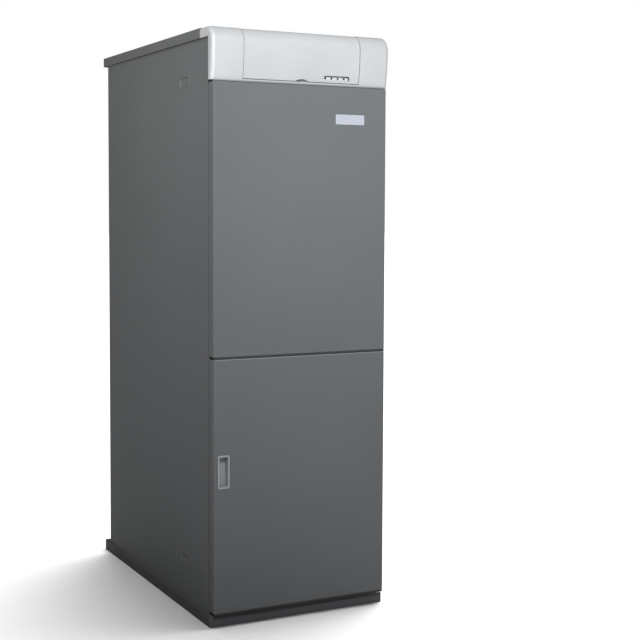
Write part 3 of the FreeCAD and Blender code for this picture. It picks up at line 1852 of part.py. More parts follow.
def expansion_vessel():
    """Flat round vessel: two dished ends on a shell with a rolled bead, and a nipple at its foot."""
    inner_radius = vessel_radius - vessel_wall
    outer = rounded_drum(point(0, vessel_front, vessel_z), vessel_radius, vessel_depth, vessel_dome, y_axis)
    inner = rounded_drum(
        point(0, vessel_front + vessel_wall, vessel_z),
        inner_radius,
        vessel_depth - 2 * vessel_wall,
        vessel_dome - vessel_wall,
        y_axis,
    )
    drum = outer.cut(inner)
    square = around(vessel_z, vessel_radius + past)
    wide = mirrored(vessel_radius + past)
    shell_front = vessel_front + vessel_dome
    shell_rear = rail_front - vessel_dome
    front_end = drum.common(box(wide, (vessel_front - past, shell_front), square))
    rear_end = drum.common(box(wide, (shell_rear, rail_front + past), square))
    foot_top = vessel_z - inner_radius + vessel_nipple_inside
    shell = fused(
        rod_y(0, (shell_front, shell_rear), vessel_z, vessel_radius),
        rod_y(0, around(vessel_y, vessel_seam_width / 2), vessel_z, vessel_radius + vessel_seam),
    ).cut([
        rod_y(0, (shell_front - past, shell_rear + past), vessel_z, inner_radius),
        rod_z(0, vessel_y, (vessel_nipple_end, foot_top), vessel_nipple_radius + press),
    ])
    nipple = rod_z(0, vessel_y, (vessel_nipple_end, foot_top), vessel_nipple_radius).cut(
        rod_z(0, vessel_y, (vessel_nipple_end - past, foot_top + past), vessel_nipple_radius - pipe_wall)
    )
    return group([front_end, rear_end, shell, nipple])


def vessel_rail():
    """Channel across the casing that the vessel is fixed to."""
    tall = around(vessel_z, rail_height / 2)
    rear = rail_front + rail_depth
    channel = box(mirrored(inner_half), (rail_front, rear), tall)
    hollow = box(
        mirrored(inner_half + past),
        (rail_front + rail_sheet, rear + past),
        around(vessel_z, rail_height / 2 - rail_sheet),
    )
    return channel.cut(hollow)


def safety_group():
    """Air vent and relief valve on the boss of the pump outlet."""
    base_top = boss_top + vent_base_height
    vent_top = base_top + vent_height
    body = fused(
        rod_z(-pump_x, flow_y, (boss_top, base_top), vent_base_radius),
        rod_z(-pump_x, flow_y, (base_top, vent_top), vent_radius),
        rod_z(-pump_x, flow_y, (vent_top, vent_top + vent_cap_height), vent_cap_radius),
        rod_x((relief_end, -pump_x), flow_y, relief_z, relief_radius),
    )
    return body.cut(rod_x(
        (relief_end - past, relief_end + relief_spindle_length + past),
        flow_y,
        relief_z,
        relief_spindle_radius + running,
    ))


def relief_knob():
    """Twist knob of the relief valve."""
    right = relief_end - relief_knob_lift
    left = right - relief_knob_length
    spindle = rod_x((left, relief_end + relief_spindle_length), flow_y, relief_z, relief_spindle_radius)
    knob = rod_x((left, right), flow_y, relief_z, relief_knob_radius)
    ridge = box(
        (left, right),
        around(flow_y, relief_spindle_radius),
        (relief_z, relief_z + relief_knob_radius + relief_spindle_radius / 2),
    )
    return fused(knob, spindle, ridge)


def rear_glands():
    """Bushes in the rear panel for the mains cable and the two oil hoses."""
    glands = []
    inside = rear_panel_front - gland_barrel
    outside = rear_panel_rear + gland_collar
    for x, z in gland_places:
        collar = rod_y(x, (rear_panel_rear, outside), z, gland_collar_radius)
        barrel = rod_y(x, (inside, rear_panel_rear), z, gland_barrel_radius)
        bore = rod_y(x, (inside - past, outside + past), z, gland_bore_radius)
        glands.append(fused(collar, barrel).cut(bore))
    return group(glands)


# Every piece under its name

pieces = {
    "plinth": plinth(),
    "left_side_panel": side_panel(-1),
    "right_side_panel": side_panel(1),
    "rear_panel": rear_panel(),
    "casing_screws": casing_screws(),
    "top_cover": top_cover(),
    "upper_front_panel": upper_front_panel(),
    "panel_clips": panel_clips(),
    "lower_door": lower_door(),
    "handle_cup": handle_cup(),
    "door_hinges": door_hinges(),
    "magnet_catches": magnet_catches(),
    "badge_plate": badge_plate(),
    "hood_frame": hood_frame(),
    "control_flap": control_flap(),
    "flap_pins": flap_pins(),
    "indicator_strip": indicator_strip(),
    "indicator_lamps": indicator_lamps(),
    "fascia": fascia(),
    "control_box": control_box(),
    "boiler_knob": thermostat_knob(boiler_knob_x),
    "hot_water_knob": thermostat_knob(hot_water_knob_x),
    "main_rocker": rocker(main_rocker_x),
    "season_rocker": rocker(season_rocker_x),
    "limit_button": limit_button(),
    "gauge_case": gauge_case(),
    "gauge_needle": gauge_needle(),
    "gauge_lens": gauge_lens(),
    "boiler_body": boiler_body(),
    "boiler_jacket": boiler_jacket(),
    "combustion_door": combustion_door(),
    "door_refractory": door_refractory(),
    "door_nuts": door_nuts(),
    "flue_hood": flue_hood(),
    "flue_baffles": flue_baffles(),
    "burner_housing": burner_housing(),
    "blast_tube": blast_tube(),
    "burner_motor": burner_motor(),
    "motor_rotor": motor_rotor(),
    "burner_fan": burner_fan(),
    "oil_pump": oil_pump(),
    "ignition_transformer": ignition_transformer(),
    "burner_control": burner_control(),
    "burner_reset_button": burner_reset_button(),
    "nozzle_line": nozzle_line(),
    "air_damper": air_damper(),
    "tank_shelf": tank_shelf(),
    "tank_insulation": tank_insulation(),
    "tank_jacket": tank_jacket(),
    "hot_water_tank": hot_water_tank(),
    "tank_flange": tank_flange(),
    "heating_pipes": heating_pipes(),
    "circulators": circulators(),
    "heating_speed_knob": speed_knob(-pump_x),
    "hot_water_speed_knob": speed_knob(pump_x),
    "expansion_vessel": expansion_vessel(),
    "vessel_rail": vessel_rail(),
    "safety_group": safety_group(),
    "relief_knob": relief_knob(),
    "rear_glands": rear_glands(),
}

os.makedirs("parts", exist_ok=True)
for name, shape in pieces.items():
    shape.exportStep("parts/" + name + ".step")
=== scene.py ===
"""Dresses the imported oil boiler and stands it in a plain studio.

All lengths are in metres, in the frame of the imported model: the front faces -Y, +X is to the right
seen from the front, and +Z is up. Every new piece is worked out as a grid of points with numpy.
"""

from __future__ import annotations

import json
import logging
import math
from dataclasses import dataclass
from enum import Enum

import bmesh
import bpy
import numpy as np
from mathutils import Matrix, Vector

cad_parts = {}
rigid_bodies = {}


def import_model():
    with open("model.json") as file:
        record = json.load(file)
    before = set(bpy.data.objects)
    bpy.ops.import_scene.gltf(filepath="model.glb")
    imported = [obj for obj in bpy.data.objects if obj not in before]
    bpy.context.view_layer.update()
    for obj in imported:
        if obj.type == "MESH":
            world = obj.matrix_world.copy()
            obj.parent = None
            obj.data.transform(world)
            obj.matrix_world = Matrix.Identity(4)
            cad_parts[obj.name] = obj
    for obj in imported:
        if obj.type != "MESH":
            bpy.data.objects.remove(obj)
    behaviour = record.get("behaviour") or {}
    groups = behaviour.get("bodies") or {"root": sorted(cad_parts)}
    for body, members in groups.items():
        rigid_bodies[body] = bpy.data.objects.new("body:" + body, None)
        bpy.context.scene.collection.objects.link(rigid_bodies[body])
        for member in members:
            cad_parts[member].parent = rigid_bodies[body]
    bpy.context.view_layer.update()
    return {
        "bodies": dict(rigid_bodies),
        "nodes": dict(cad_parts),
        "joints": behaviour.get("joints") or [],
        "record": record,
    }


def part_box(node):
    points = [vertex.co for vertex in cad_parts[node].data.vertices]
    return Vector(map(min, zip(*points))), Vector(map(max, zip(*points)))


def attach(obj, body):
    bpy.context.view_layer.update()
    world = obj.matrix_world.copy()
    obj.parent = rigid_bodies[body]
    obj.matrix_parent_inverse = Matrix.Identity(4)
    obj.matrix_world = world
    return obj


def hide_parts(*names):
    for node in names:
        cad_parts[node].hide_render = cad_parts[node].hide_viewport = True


LOG = logging.getLogger("oil_boiler")
MERGE_DISTANCE = 1e-6
EMPTY_EDGE = 1e-7
CRISP_ANGLE = math.radians(38)
FINEST_CORNER = 0.0006
PLATE_CORNER_STEPS = 7
BAR_CORNER_STEPS = 4
NEARLY_UPRIGHT = 0.9
Colour = tuple[float, float, float]
Point = tuple[float, float, float]


class Grain(Enum):
    """Surface structure of a finish."""

    POWDER = "powder"
    FLAKE = "flake"
    MOULDED = "moulded"
    BRUSHED = "brushed"
    CAST = "cast"
    FIBRE = "fibre"
    CLEAR = "clear"


class LampKind(Enum):
    """Kind of studio lamp."""

    AREA = "AREA"
    SUN = "SUN"


@dataclass(frozen=True)
class Finish:
    """One surface finish and the size of its detail.

    The two tones are the darker and lighter ends of the colour variation, grain_size is the width
    of one grain, and relief is how far the grain stands up.
    """

    name: str
    grain: Grain
    dark: Colour
    light: Colour
    metallic: float = 0.0
    specular: float = 0.5
    roughness: float = 0.5
    roughness_spread: float = 0.06
    grain_size: float = 0.002
    relief: float = 0.00005
    relief_strength: float = 0.3
    mottle_size: float = 0.25
    coat: float = 0.0
    coat_roughness: float = 0.2
    transmission: float = 0.0


CASING_PAINT = Finish(
    "casing_paint", Grain.POWDER, (0.066, 0.068, 0.070), (0.076, 0.078, 0.080),
    specular=0.01, roughness=0.55, grain_size=0.0016, relief=0.00006, relief_strength=0.25,
)
PLINTH_PAINT = Finish(
    "plinth_paint", Grain.POWDER, (0.050, 0.048, 0.052), (0.066, 0.064, 0.069), specular=0.01, roughness=0.6,
    grain_size=0.002, relief_strength=0.35,
)
SILVER_PAINT = Finish(
    "silver_paint", Grain.FLAKE, (0.252, 0.256, 0.260), (0.305, 0.309, 0.313), metallic=0.32, roughness=0.58,
    roughness_spread=0.04, grain_size=0.0007, relief=0.00002, relief_strength=0.15, mottle_size=0.12,
    specular=0.2,
)
HANDLE_PAINT = Finish(
    "handle_paint", Grain.FLAKE, (0.160, 0.164, 0.170), (0.196, 0.200, 0.206), metallic=0.2, roughness=0.5,
    roughness_spread=0.04, grain_size=0.0007, relief=0.00002, relief_strength=0.15, mottle_size=0.05,
    specular=0.2,
)
BADGE_PLATE = Finish(
    "badge_plate", Grain.BRUSHED, (0.210, 0.220, 0.245), (0.245, 0.255, 0.280), metallic=0.1, roughness=0.35,
    specular=0.2, grain_size=0.0006, relief=0.00001, relief_strength=0.12,
)
LAMP_STRIP = Finish(
    "lamp_strip", Grain.MOULDED, (0.25, 0.25, 0.255), (0.29, 0.29, 0.295), specular=0.1, roughness=0.55,
    grain_size=0.0012,
)
LAMP_RED = Finish(
    "lamp_red", Grain.CLEAR, (0.012, 0.005, 0.007), (0.018, 0.007, 0.009), specular=0.05, roughness=0.4,
    roughness_spread=0.03,
)
FASCIA_PLASTIC = Finish(
    "fascia_plastic", Grain.MOULDED, (0.12, 0.12, 0.123), (0.15, 0.15, 0.153), roughness=0.55,
    grain_size=0.0009, relief_strength=0.4,
)
CONTROL_PLASTIC = Finish(
    "control_plastic", Grain.MOULDED, (0.012, 0.012, 0.013), (0.022, 0.022, 0.023), roughness=0.38,
    grain_size=0.0008, relief_strength=0.3,
)
RED_PLASTIC = Finish(
    "red_plastic", Grain.MOULDED, (0.36, 0.012, 0.01), (0.5, 0.022, 0.016), roughness=0.3, grain_size=0.001,
)
DIAL_WHITE = Finish(
    "dial_white", Grain.MOULDED, (0.68, 0.68, 0.66), (0.76, 0.76, 0.74), roughness=0.45, grain_size=0.0006,
)
GAUGE_GLASS = Finish(
    "gauge_glass", Grain.CLEAR, (0.92, 0.95, 0.95), (0.96, 0.98, 0.98), roughness=0.04,
    roughness_spread=0.02, transmission=0.95,
)
ZINC_SHEET = Finish(
    "zinc_sheet", Grain.CAST, (0.36, 0.37, 0.38), (0.52, 0.53, 0.54), metallic=0.85, roughness=0.42,
    roughness_spread=0.12, grain_size=0.018, relief=0.00002, relief_strength=0.1, mottle_size=0.05,
)
BRIGHT_STEEL = Finish(
    "bright_steel", Grain.BRUSHED, (0.42, 0.42, 0.42), (0.58, 0.58, 0.57), metallic=0.95, roughness=0.3,
    grain_size=0.0012, relief_strength=0.2,
)
DARK_STEEL = Finish(
    "dark_steel", Grain.BRUSHED, (0.16, 0.155, 0.15), (0.27, 0.26, 0.25), metallic=0.9, roughness=0.42,
    roughness_spread=0.1, grain_size=0.002, relief_strength=0.25,
)
SOOTED_IRON = Finish(
    "sooted_iron", Grain.CAST, (0.028, 0.027, 0.026), (0.075, 0.072, 0.07), metallic=0.3, roughness=0.72,
    roughness_spread=0.12, grain_size=0.004, relief=0.0004, relief_strength=0.6, mottle_size=0.08,
)
FOIL_BOARD = Finish(
    "foil_board", Grain.FIBRE, (0.50, 0.49, 0.44), (0.66, 0.65, 0.60), metallic=0.5, roughness=0.45,
    roughness_spread=0.15, grain_size=0.006, relief=0.0006, relief_strength=0.5, mottle_size=0.06,
)
FIBRE_LINING = Finish(
    "fibre_lining", Grain.FIBRE, (0.60, 0.57, 0.50), (0.78, 0.75, 0.69), roughness=0.92, grain_size=0.004,
    relief=0.0006, relief_strength=0.7, mottle_size=0.05,
)
FOAM_SHELL = Finish(
    "foam_shell", Grain.FIBRE, (0.52, 0.41, 0.20), (0.68, 0.56, 0.32), roughness=0.88, grain_size=0.008,
    relief=0.0009, relief_strength=0.7, mottle_size=0.12,
)
BURNER_CASTING = Finish(
    "burner_casting", Grain.CAST, (0.20, 0.21, 0.22), (0.30, 0.31, 0.32), metallic=0.7, roughness=0.5,
    roughness_spread=0.1, grain_size=0.003, relief=0.0002, relief_strength=0.4, mottle_size=0.04,
)
BURNER_CASE = Finish(
    "burner_case", Grain.MOULDED, (0.015, 0.018, 0.028), (0.028, 0.032, 0.045), roughness=0.45,
    grain_size=0.001, relief_strength=0.35,
)
MOTOR_PAINT = Finish(
    "motor_paint", Grain.POWDER, (0.02, 0.02, 0.022), (0.036, 0.036, 0.038), roughness=0.48, grain_size=0.002,
)
FAN_SHEET = Finish(
    "fan_sheet", Grain.BRUSHED, (0.44, 0.44, 0.45), (0.56, 0.56, 0.57), metallic=0.9, roughness=0.38,
    grain_size=0.0015, relief_strength=0.2,
)
BRASS = Finish(
    "brass", Grain.BRUSHED, (0.42, 0.27, 0.09), (0.58, 0.40, 0.15), metallic=0.95, roughness=0.32,
    roughness_spread=0.1, grain_size=0.0012, mottle_size=0.03,
)
STAINLESS = Finish(
    "stainless", Grain.BRUSHED, (0.46, 0.46, 0.46), (0.58, 0.58, 0.57), metallic=0.95, roughness=0.28,
    grain_size=0.0014, relief_strength=0.18,
)
COPPER = Finish(
    "copper", Grain.BRUSHED, (0.40, 0.15, 0.07), (0.60, 0.27, 0.15), metallic=0.95, roughness=0.34,
    roughness_spread=0.12, grain_size=0.003, mottle_size=0.06,
)
PUMP_PAINT = Finish(
    "pump_paint", Grain.CAST, (0.20, 0.014, 0.012), (0.30, 0.022, 0.018), roughness=0.45, grain_size=0.003,
    relief=0.0002, relief_strength=0.35, mottle_size=0.05,
)
VESSEL_PAINT = Finish(
    "vessel_paint", Grain.POWDER, (0.30, 0.015, 0.012), (0.40, 0.022, 0.018), roughness=0.36,
    grain_size=0.002, coat=0.2, coat_roughness=0.2,
)
BLACK_RUBBER = Finish(
    "black_rubber", Grain.MOULDED, (0.010, 0.010, 0.010), (0.020, 0.020, 0.020), roughness=0.75,
    grain_size=0.0015, relief_strength=0.5,
)
GREY_FOAM = Finish(
    "grey_foam", Grain.FIBRE, (0.020, 0.020, 0.021), (0.030, 0.030, 0.031), specular=0.1, roughness=0.9,
    grain_size=0.0012, relief=0.0002, relief_strength=0.5,
)
# Grey foam made paler: painted light that offsets the shade under the hood's chin.
PAINTED_LIGHT_FOAM = Finish(
    "painted_light_foam", Grain.FIBRE, (0.10, 0.10, 0.102), (0.12, 0.12, 0.122), specular=0.1, roughness=0.9,
    grain_size=0.0012, relief=0.0002, relief_strength=0.5,
)
# Casing paint made lighter: a painted highlight for the door's top edge.
EDGE_HIGHLIGHT_PAINT = Finish(
    "edge_highlight_paint", Grain.POWDER, (0.112, 0.114, 0.117), (0.130, 0.132, 0.135),
    specular=0.01, roughness=0.5, grain_size=0.0016, relief=0.00006, relief_strength=0.25,
)
FLOOR_PAPER = Finish(
    "floor_paper", Grain.FIBRE, (0.86, 0.86, 0.86), (0.88, 0.88, 0.88), roughness=0.9, grain_size=0.004,
    relief_strength=0.02,
)

NODE_FINISHES: dict[Finish, tuple[str, ...]] = {
    CASING_PAINT: ("left_side_panel", "right_side_panel", "top_cover", "upper_front_panel", "lower_door"),
    PLINTH_PAINT: ("plinth",),
    SILVER_PAINT: ("hood_frame", "control_flap"),
    LAMP_STRIP: ("indicator_strip",),
    FASCIA_PLASTIC: ("fascia", "control_box"),
    CONTROL_PLASTIC: (
        "main_rocker", "season_rocker", "heating_speed_knob", "hot_water_speed_knob", "magnet_catches",
    ),
    RED_PLASTIC: ("limit_button", "burner_reset_button", "relief_knob", "gauge_needle"),
    DIAL_WHITE: ("gauge_case",),
    GAUGE_GLASS: ("gauge_lens",),
    ZINC_SHEET: ("rear_panel", "tank_shelf", "vessel_rail", "flue_hood", "flue_baffles"),
    BRIGHT_STEEL: ("door_nuts", "flap_pins", "panel_clips"),
    DARK_STEEL: ("door_hinges", "motor_rotor", "blast_tube", "tank_jacket"),
    SOOTED_IRON: ("boiler_body", "combustion_door"),
    FOIL_BOARD: ("boiler_jacket",),
    FIBRE_LINING: ("door_refractory",),
    FOAM_SHELL: ("tank_insulation",),
    BURNER_CASTING: ("burner_housing", "air_damper", "oil_pump"),
    BURNER_CASE: ("ignition_transformer", "burner_control"),
    MOTOR_PAINT: ("burner_motor",),
    FAN_SHEET: ("burner_fan",),
    BRASS: ("nozzle_line", "safety_group"),
    STAINLESS: ("hot_water_tank", "tank_flange"),
    COPPER: ("heating_pipes",),
    PUMP_PAINT: ("circulators",),
    VESSEL_PAINT: ("expansion_vessel",),
    BLACK_RUBBER: ("rear_glands",),
}
GRAIN_OCTAVES: dict[Grain, float] = {
    Grain.POWDER: 1.5, Grain.MOULDED: 2.0, Grain.BRUSHED: 4.0, Grain.FIBRE: 8.0, Grain.CLEAR: 0.5,
}
MOTTLE_OCTAVES = 3.0
BRUSH_STRETCH: Point = (0.03, 1.0, 1.0)
EVEN_SHARE = 0.5
TONE_ENDS = (0.25, 0.75)
SMOOTHEST = 0.02


class FinishShop:
    """Turns finishes into node materials, one material per finish."""

    def __init__(self) -> None:
        """Starts with no material made."""
        self._made: dict[Finish, bpy.types.Material] = {}

    def get(self, finish: Finish) -> bpy.types.Material:
        """Gives the material of a finish, making it the first time.

        Args:
            finish: the finish wanted.

        Returns:
            The node material.
        """
        if finish not in self._made:
            self._made[finish] = self._make(finish)
        return self._made[finish]

    def _make(self, finish: Finish) -> bpy.types.Material:
        """Builds the nodes: two-tone colour, uneven gloss and a fine relief, all on Object coordinates.

        Args:
            finish: the finish to build.

        Returns:
            The new material.
        """
        material = bpy.data.materials.new(finish.name)
        material.use_nodes = True
        tree = material.node_tree
        shader = tree.nodes["Principled BSDF"]
        shader.inputs["Metallic"].default_value = finish.metallic
        shader.inputs["Specular IOR Level"].default_value = finish.specular
        shader.inputs["Coat Weight"].default_value = finish.coat
        shader.inputs["Coat Roughness"].default_value = finish.coat_roughness
        shader.inputs["Transmission Weight"].default_value = finish.transmission
        place = tree.nodes.new("ShaderNodeTexCoord").outputs["Object"]
        grain = self._grain(tree, place, finish)
        mottle = self._noise(tree, place, 1.0 / finish.mottle_size, MOTTLE_OCTAVES)
        self._colour(tree, shader, finish, grain, mottle)
        self._gloss(tree, shader, finish, grain, mottle)
        bump = tree.nodes.new("ShaderNodeBump")
        bump.inputs["Strength"].default_value = finish.relief_strength
        bump.inputs["Distance"].default_value = finish.relief
        tree.links.new(grain, bump.inputs["Height"])
        tree.links.new(bump.outputs["Normal"], shader.inputs["Normal"])
        return material

    @staticmethod
    def _noise(
        tree: bpy.types.NodeTree, place: bpy.types.NodeSocket, scale: float, detail: float
    ) -> bpy.types.NodeSocket:
        """Adds fractal noise.

        Args:
            tree: the material's node tree.
            place: the coordinates to read.
            scale: features per metre.
            detail: octaves.

        Returns:
            The noise value's socket.
        """
        noise = tree.nodes.new("ShaderNodeTexNoise")
        noise.inputs["Scale"].default_value = scale
        noise.inputs["Detail"].default_value = detail
        tree.links.new(place, noise.inputs["Vector"])
        return noise.outputs["Fac"]

    def _grain(
        self, tree: bpy.types.NodeTree, place: bpy.types.NodeSocket, finish: Finish
    ) -> bpy.types.NodeSocket:
        """Adds the pattern of a finish's grain.

        Args:
            tree: the material's node tree.
            place: the coordinates to read.
            finish: the finish whose grain is wanted.

        Returns:
            The grain's height socket, from 0 to 1.
        """
        scale = 1.0 / finish.grain_size
        if finish.grain is Grain.BRUSHED:
            stretch = tree.nodes.new("ShaderNodeMapping")
            stretch.inputs["Scale"].default_value = BRUSH_STRETCH
            tree.links.new(place, stretch.inputs["Vector"])
            return self._noise(tree, stretch.outputs["Vector"], scale, GRAIN_OCTAVES[finish.grain])
        if finish.grain in (Grain.CAST, Grain.FLAKE):
            cells = tree.nodes.new("ShaderNodeTexVoronoi")
            cells.inputs["Scale"].default_value = scale
            tree.links.new(place, cells.inputs["Vector"])
            if finish.grain is Grain.FLAKE:
                return cells.outputs["Color"]
            return cells.outputs["Distance"]
        return self._noise(tree, place, scale, GRAIN_OCTAVES[finish.grain])

    @staticmethod
    def _colour(
        tree: bpy.types.NodeTree,
        shader: bpy.types.Node,
        finish: Finish,
        grain: bpy.types.NodeSocket,
        mottle: bpy.types.NodeSocket,
    ) -> None:
        """Mixes the two tones by grain and mottle together.

        Args:
            tree: the material's node tree.
            shader: the surface shader.
            finish: the finish that holds the tones.
            grain: fine pattern, 0 to 1.
            mottle: broad pattern, 0 to 1.
        """
        average = tree.nodes.new("ShaderNodeMath")
        average.operation = "MULTIPLY_ADD"
        average.inputs[1].default_value = EVEN_SHARE
        tree.links.new(grain, average.inputs[0])
        half = tree.nodes.new("ShaderNodeMath")
        half.operation = "MULTIPLY"
        half.inputs[1].default_value = EVEN_SHARE
        tree.links.new(mottle, half.inputs[0])
        tree.links.new(half.outputs["Value"], average.inputs[2])
        tones = tree.nodes.new("ShaderNodeValToRGB")
        tones.color_ramp.elements[0].position = TONE_ENDS[0]
        tones.color_ramp.elements[0].color = (*finish.dark, 1.0)
        tones.color_ramp.elements[1].position = TONE_ENDS[1]
        tones.color_ramp.elements[1].color = (*finish.light, 1.0)
        tree.links.new(average.outputs["Value"], tones.inputs["Fac"])
        tree.links.new(tones.outputs["Color"], shader.inputs["Base Color"])

    @staticmethod
    def _gloss(
        tree: bpy.types.NodeTree,
        shader: bpy.types.Node,
        finish: Finish,
        grain: bpy.types.NodeSocket,
        mottle: bpy.types.NodeSocket,
    ) -> None:
        """Spreads the roughness round its middle value by the broad pattern.

        Args:
            tree: the material's node tree.
            shader: the surface shader.
            finish: the finish that holds the roughness.
            grain: fine pattern, 0 to 1, used where the surface is fibrous.
            mottle: broad pattern, 0 to 1.
        """
        spread = tree.nodes.new("ShaderNodeMapRange")
        spread.inputs["To Min"].default_value = max(finish.roughness - finish.roughness_spread, SMOOTHEST)
        spread.inputs["To Max"].default_value = min(finish.roughness + finish.roughness_spread, 1.0)
        source = grain if finish.grain is Grain.FIBRE else mottle
        tree.links.new(source, spread.inputs["Value"])
        tree.links.new(spread.outputs["Result"], shader.inputs["Roughness"])


@dataclass(frozen=True)
class Patch:
    """A grid of points, and whether its rows or columns run round to the start."""

    points: np.ndarray
    ring_rows: bool = False
    ring_columns: bool = False

    def faces(self) -> np.ndarray:
        """Joins neighbouring grid points into quads.

        Returns:
            Array of quads, four point numbers each.
        """
        rows, columns = self.points.shape[:2]
        row = np.arange(rows if self.ring_rows else rows - 1)
        column = np.arange(columns if self.ring_columns else columns - 1)
        r0, c0 = np.meshgrid(row, column, indexing="ij")
        r1 = (r0 + 1) % rows
        c1 = (c0 + 1) % columns
        turns = ((r0, c0), (r0, c1), (r1, c1), (r1, c0))
        quads = np.stack([r * columns + c for r, c in turns], axis=-1)
        return quads.reshape(-1, 4)


class Workbench:
    """Makes pieces from patches, dresses them and hangs them on their bodies."""

    def __init__(self, shop: FinishShop) -> None:
        """Keeps the shop that the finishes come from."""
        self.shop = shop

    def piece(
        self, name: str, patches: list[Patch], finish: Finish, body: str, slot: str
    ) -> bpy.types.Object:
        """Makes one piece from patches.

        Args:
            name: the piece's name.
            patches: its surfaces.
            finish: the finish it gets.
            body: the CAD body it moves with.
            slot: the record's material slot it belongs to; not used.

        Returns:
            The new object.
        """
        points = np.concatenate([patch.points.reshape(-1, 3) for patch in patches])
        starts = np.cumsum([0] + [patch.points.size // 3 for patch in patches[:-1]])
        quads = np.concatenate([patch.faces() + start for patch, start in zip(patches, starts)])
        mesh = bpy.data.meshes.new(name)
        mesh.vertices.add(len(points))
        mesh.vertices.foreach_set("co", points.astype(np.float32).ravel())
        mesh.loops.add(quads.size)
        mesh.loops.foreach_set("vertex_index", quads.astype(np.int32).ravel())
        mesh.polygons.add(len(quads))
        mesh.polygons.foreach_set("loop_start", np.arange(0, quads.size, 4, dtype=np.int32))
        mesh.polygons.foreach_set("use_smooth", np.ones(len(quads), dtype=bool))
        mesh.update(calc_edges=True)
        self._close(mesh)
        item = bpy.data.objects.new(name, mesh)
        bpy.context.scene.collection.objects.link(item)
        mesh.materials.append(self.shop.get(finish))
        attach(item, body)
        LOG.info("piece %s: %d faces on %s", name, len(mesh.polygons), body)
        return item

    @staticmethod
    def _close(mesh: bpy.types.Mesh) -> None:
        """Merges seams and poles, drops empty faces, turns the faces outwards and keeps hard edges crisp.

        Args:
            mesh: the mesh to close.
        """
        work = bmesh.new()
        work.from_mesh(mesh)
        bmesh.ops.remove_doubles(work, verts=work.verts, dist=MERGE_DISTANCE)
        bmesh.ops.dissolve_degenerate(work, edges=work.edges, dist=EMPTY_EDGE)
        bmesh.ops.recalc_face_normals(work, faces=work.faces)
        work.to_mesh(mesh)
        work.free()
        mesh.set_sharp_from_angle(angle=CRISP_ANGLE)

    def dress_nodes(self, nodes: dict[str, bpy.types.Object]) -> None:
        """Gives every CAD node its finish.

        Args:
            nodes: the CAD nodes by name.
        """
        for finish, names in NODE_FINISHES.items():
            for name in names:
                slots = nodes[name].material_slots
                if not slots:
                    nodes[name].data.materials.append(self.shop.get(finish))
                for holder in slots:
                    holder.material = self.shop.get(finish)
                LOG.info("node %s: %s", name, finish.name)


def rounded_outline(half_x: np.ndarray, half_z: np.ndarray, radius: np.ndarray, steps: int) -> np.ndarray:
    """Rounded rectangles, one for each entry of the sizes.

    Each corner is a quarter circle: its centre is the half size less the radius, plus the radius
    times cosine and sine of an angle that runs round a full turn over the four corners.

    Args:
        half_x: half widths.
        half_z: half heights.
        radius: corner radii.
        steps: points in each corner.

    Returns:
        Array of shape (sizes, 4 * steps, 2) with the x and z of each point.
    """
    quarter = np.linspace(0.0, math.pi / 2, steps)
    angle = (quarter[None, :] + np.arange(4)[:, None] * math.pi / 2).ravel()
    sign_x = np.repeat(np.array([1.0, -1.0, -1.0, 1.0]), steps)
    sign_z = np.repeat(np.array([1.0, 1.0, -1.0, -1.0]), steps)
    x = sign_x * (half_x - radius)[:, None] + radius[:, None] * np.cos(angle)
    z = sign_z * (half_z - radius)[:, None] + radius[:, None] * np.sin(angle)
    return np.stack([x, z], axis=-1)


def moulded_plate(
    centre: tuple[float, float],
    half: tuple[float, float],
    corner: float,
    inset: np.ndarray,
    depth: np.ndarray,
    across: int = 0,
) -> Patch:
    """An upright plate or cup, made of rounded rectangles nested inside each other.

    Ring k is the outline drawn in by inset k and set at depth k, so the two lists are the section
    from one closed middle, over the rim, to the other.

    Args:
        centre: the middle, across and upwards.
        half: half width and half height of the outline.
        corner: corner radius of the outline.
        inset: how far each ring lies inside the outline.
        depth: place of each ring on the axis through the plate.
        across: number of the level axis along the plate, 0 for a front and 1 for a side.

    Returns:
        The closed surface.
    """
    half_x = np.maximum(half[0] - inset, 0.0)
    half_z = np.maximum(half[1] - inset, 0.0)
    radius = np.minimum(np.clip(corner - inset, FINEST_CORNER, None), np.minimum(half_x, half_z))
    flat = rounded_outline(half_x, half_z, radius, PLATE_CORNER_STEPS)
    points = np.empty(flat.shape[:2] + (3,))
    points[..., across] = centre[0] + flat[..., 0]
    points[..., 1 - across] = depth[:, None]
    points[..., 2] = centre[1] + flat[..., 1]
    return Patch(points, ring_columns=True)


def turned(
    centre: np.ndarray, axis: np.ndarray, along: np.ndarray, radius: np.ndarray, steps: int
) -> Patch:
    """A turned form: circles of the given radii at the given places along an axis.

    Point (k, t) is the centre plus along k times the axis plus radius k, t times the circle's
    direction at angle t. A radius that changes with t gives flutes.

    Args:
        centre: a point on the axis.
        axis: unit vector of the axis.
        along: distance along the axis of each circle.
        radius: radius of each circle, or of each of its points.
        steps: points round the circle.

    Returns:
        The surface, open at its ends unless the end radii are 0.
    """
    angle = np.linspace(0.0, 2 * math.pi, steps, endpoint=False)
    helper = np.array([0.0, 0.0, 1.0]) if abs(axis[2]) < NEARLY_UPRIGHT else np.array([1.0, 0.0, 0.0])
    side = np.cross(axis, helper)
    side = side / np.linalg.norm(side)
    other = np.cross(axis, side)
    circle = np.cos(angle)[:, None] * side + np.sin(angle)[:, None] * other
    reach = radius if radius.ndim == 2 else np.repeat(radius[:, None], steps, axis=1)
    points = centre + along[:, None, None] * axis + reach[..., None] * circle[None, :, :]
    return Patch(points, ring_columns=True)


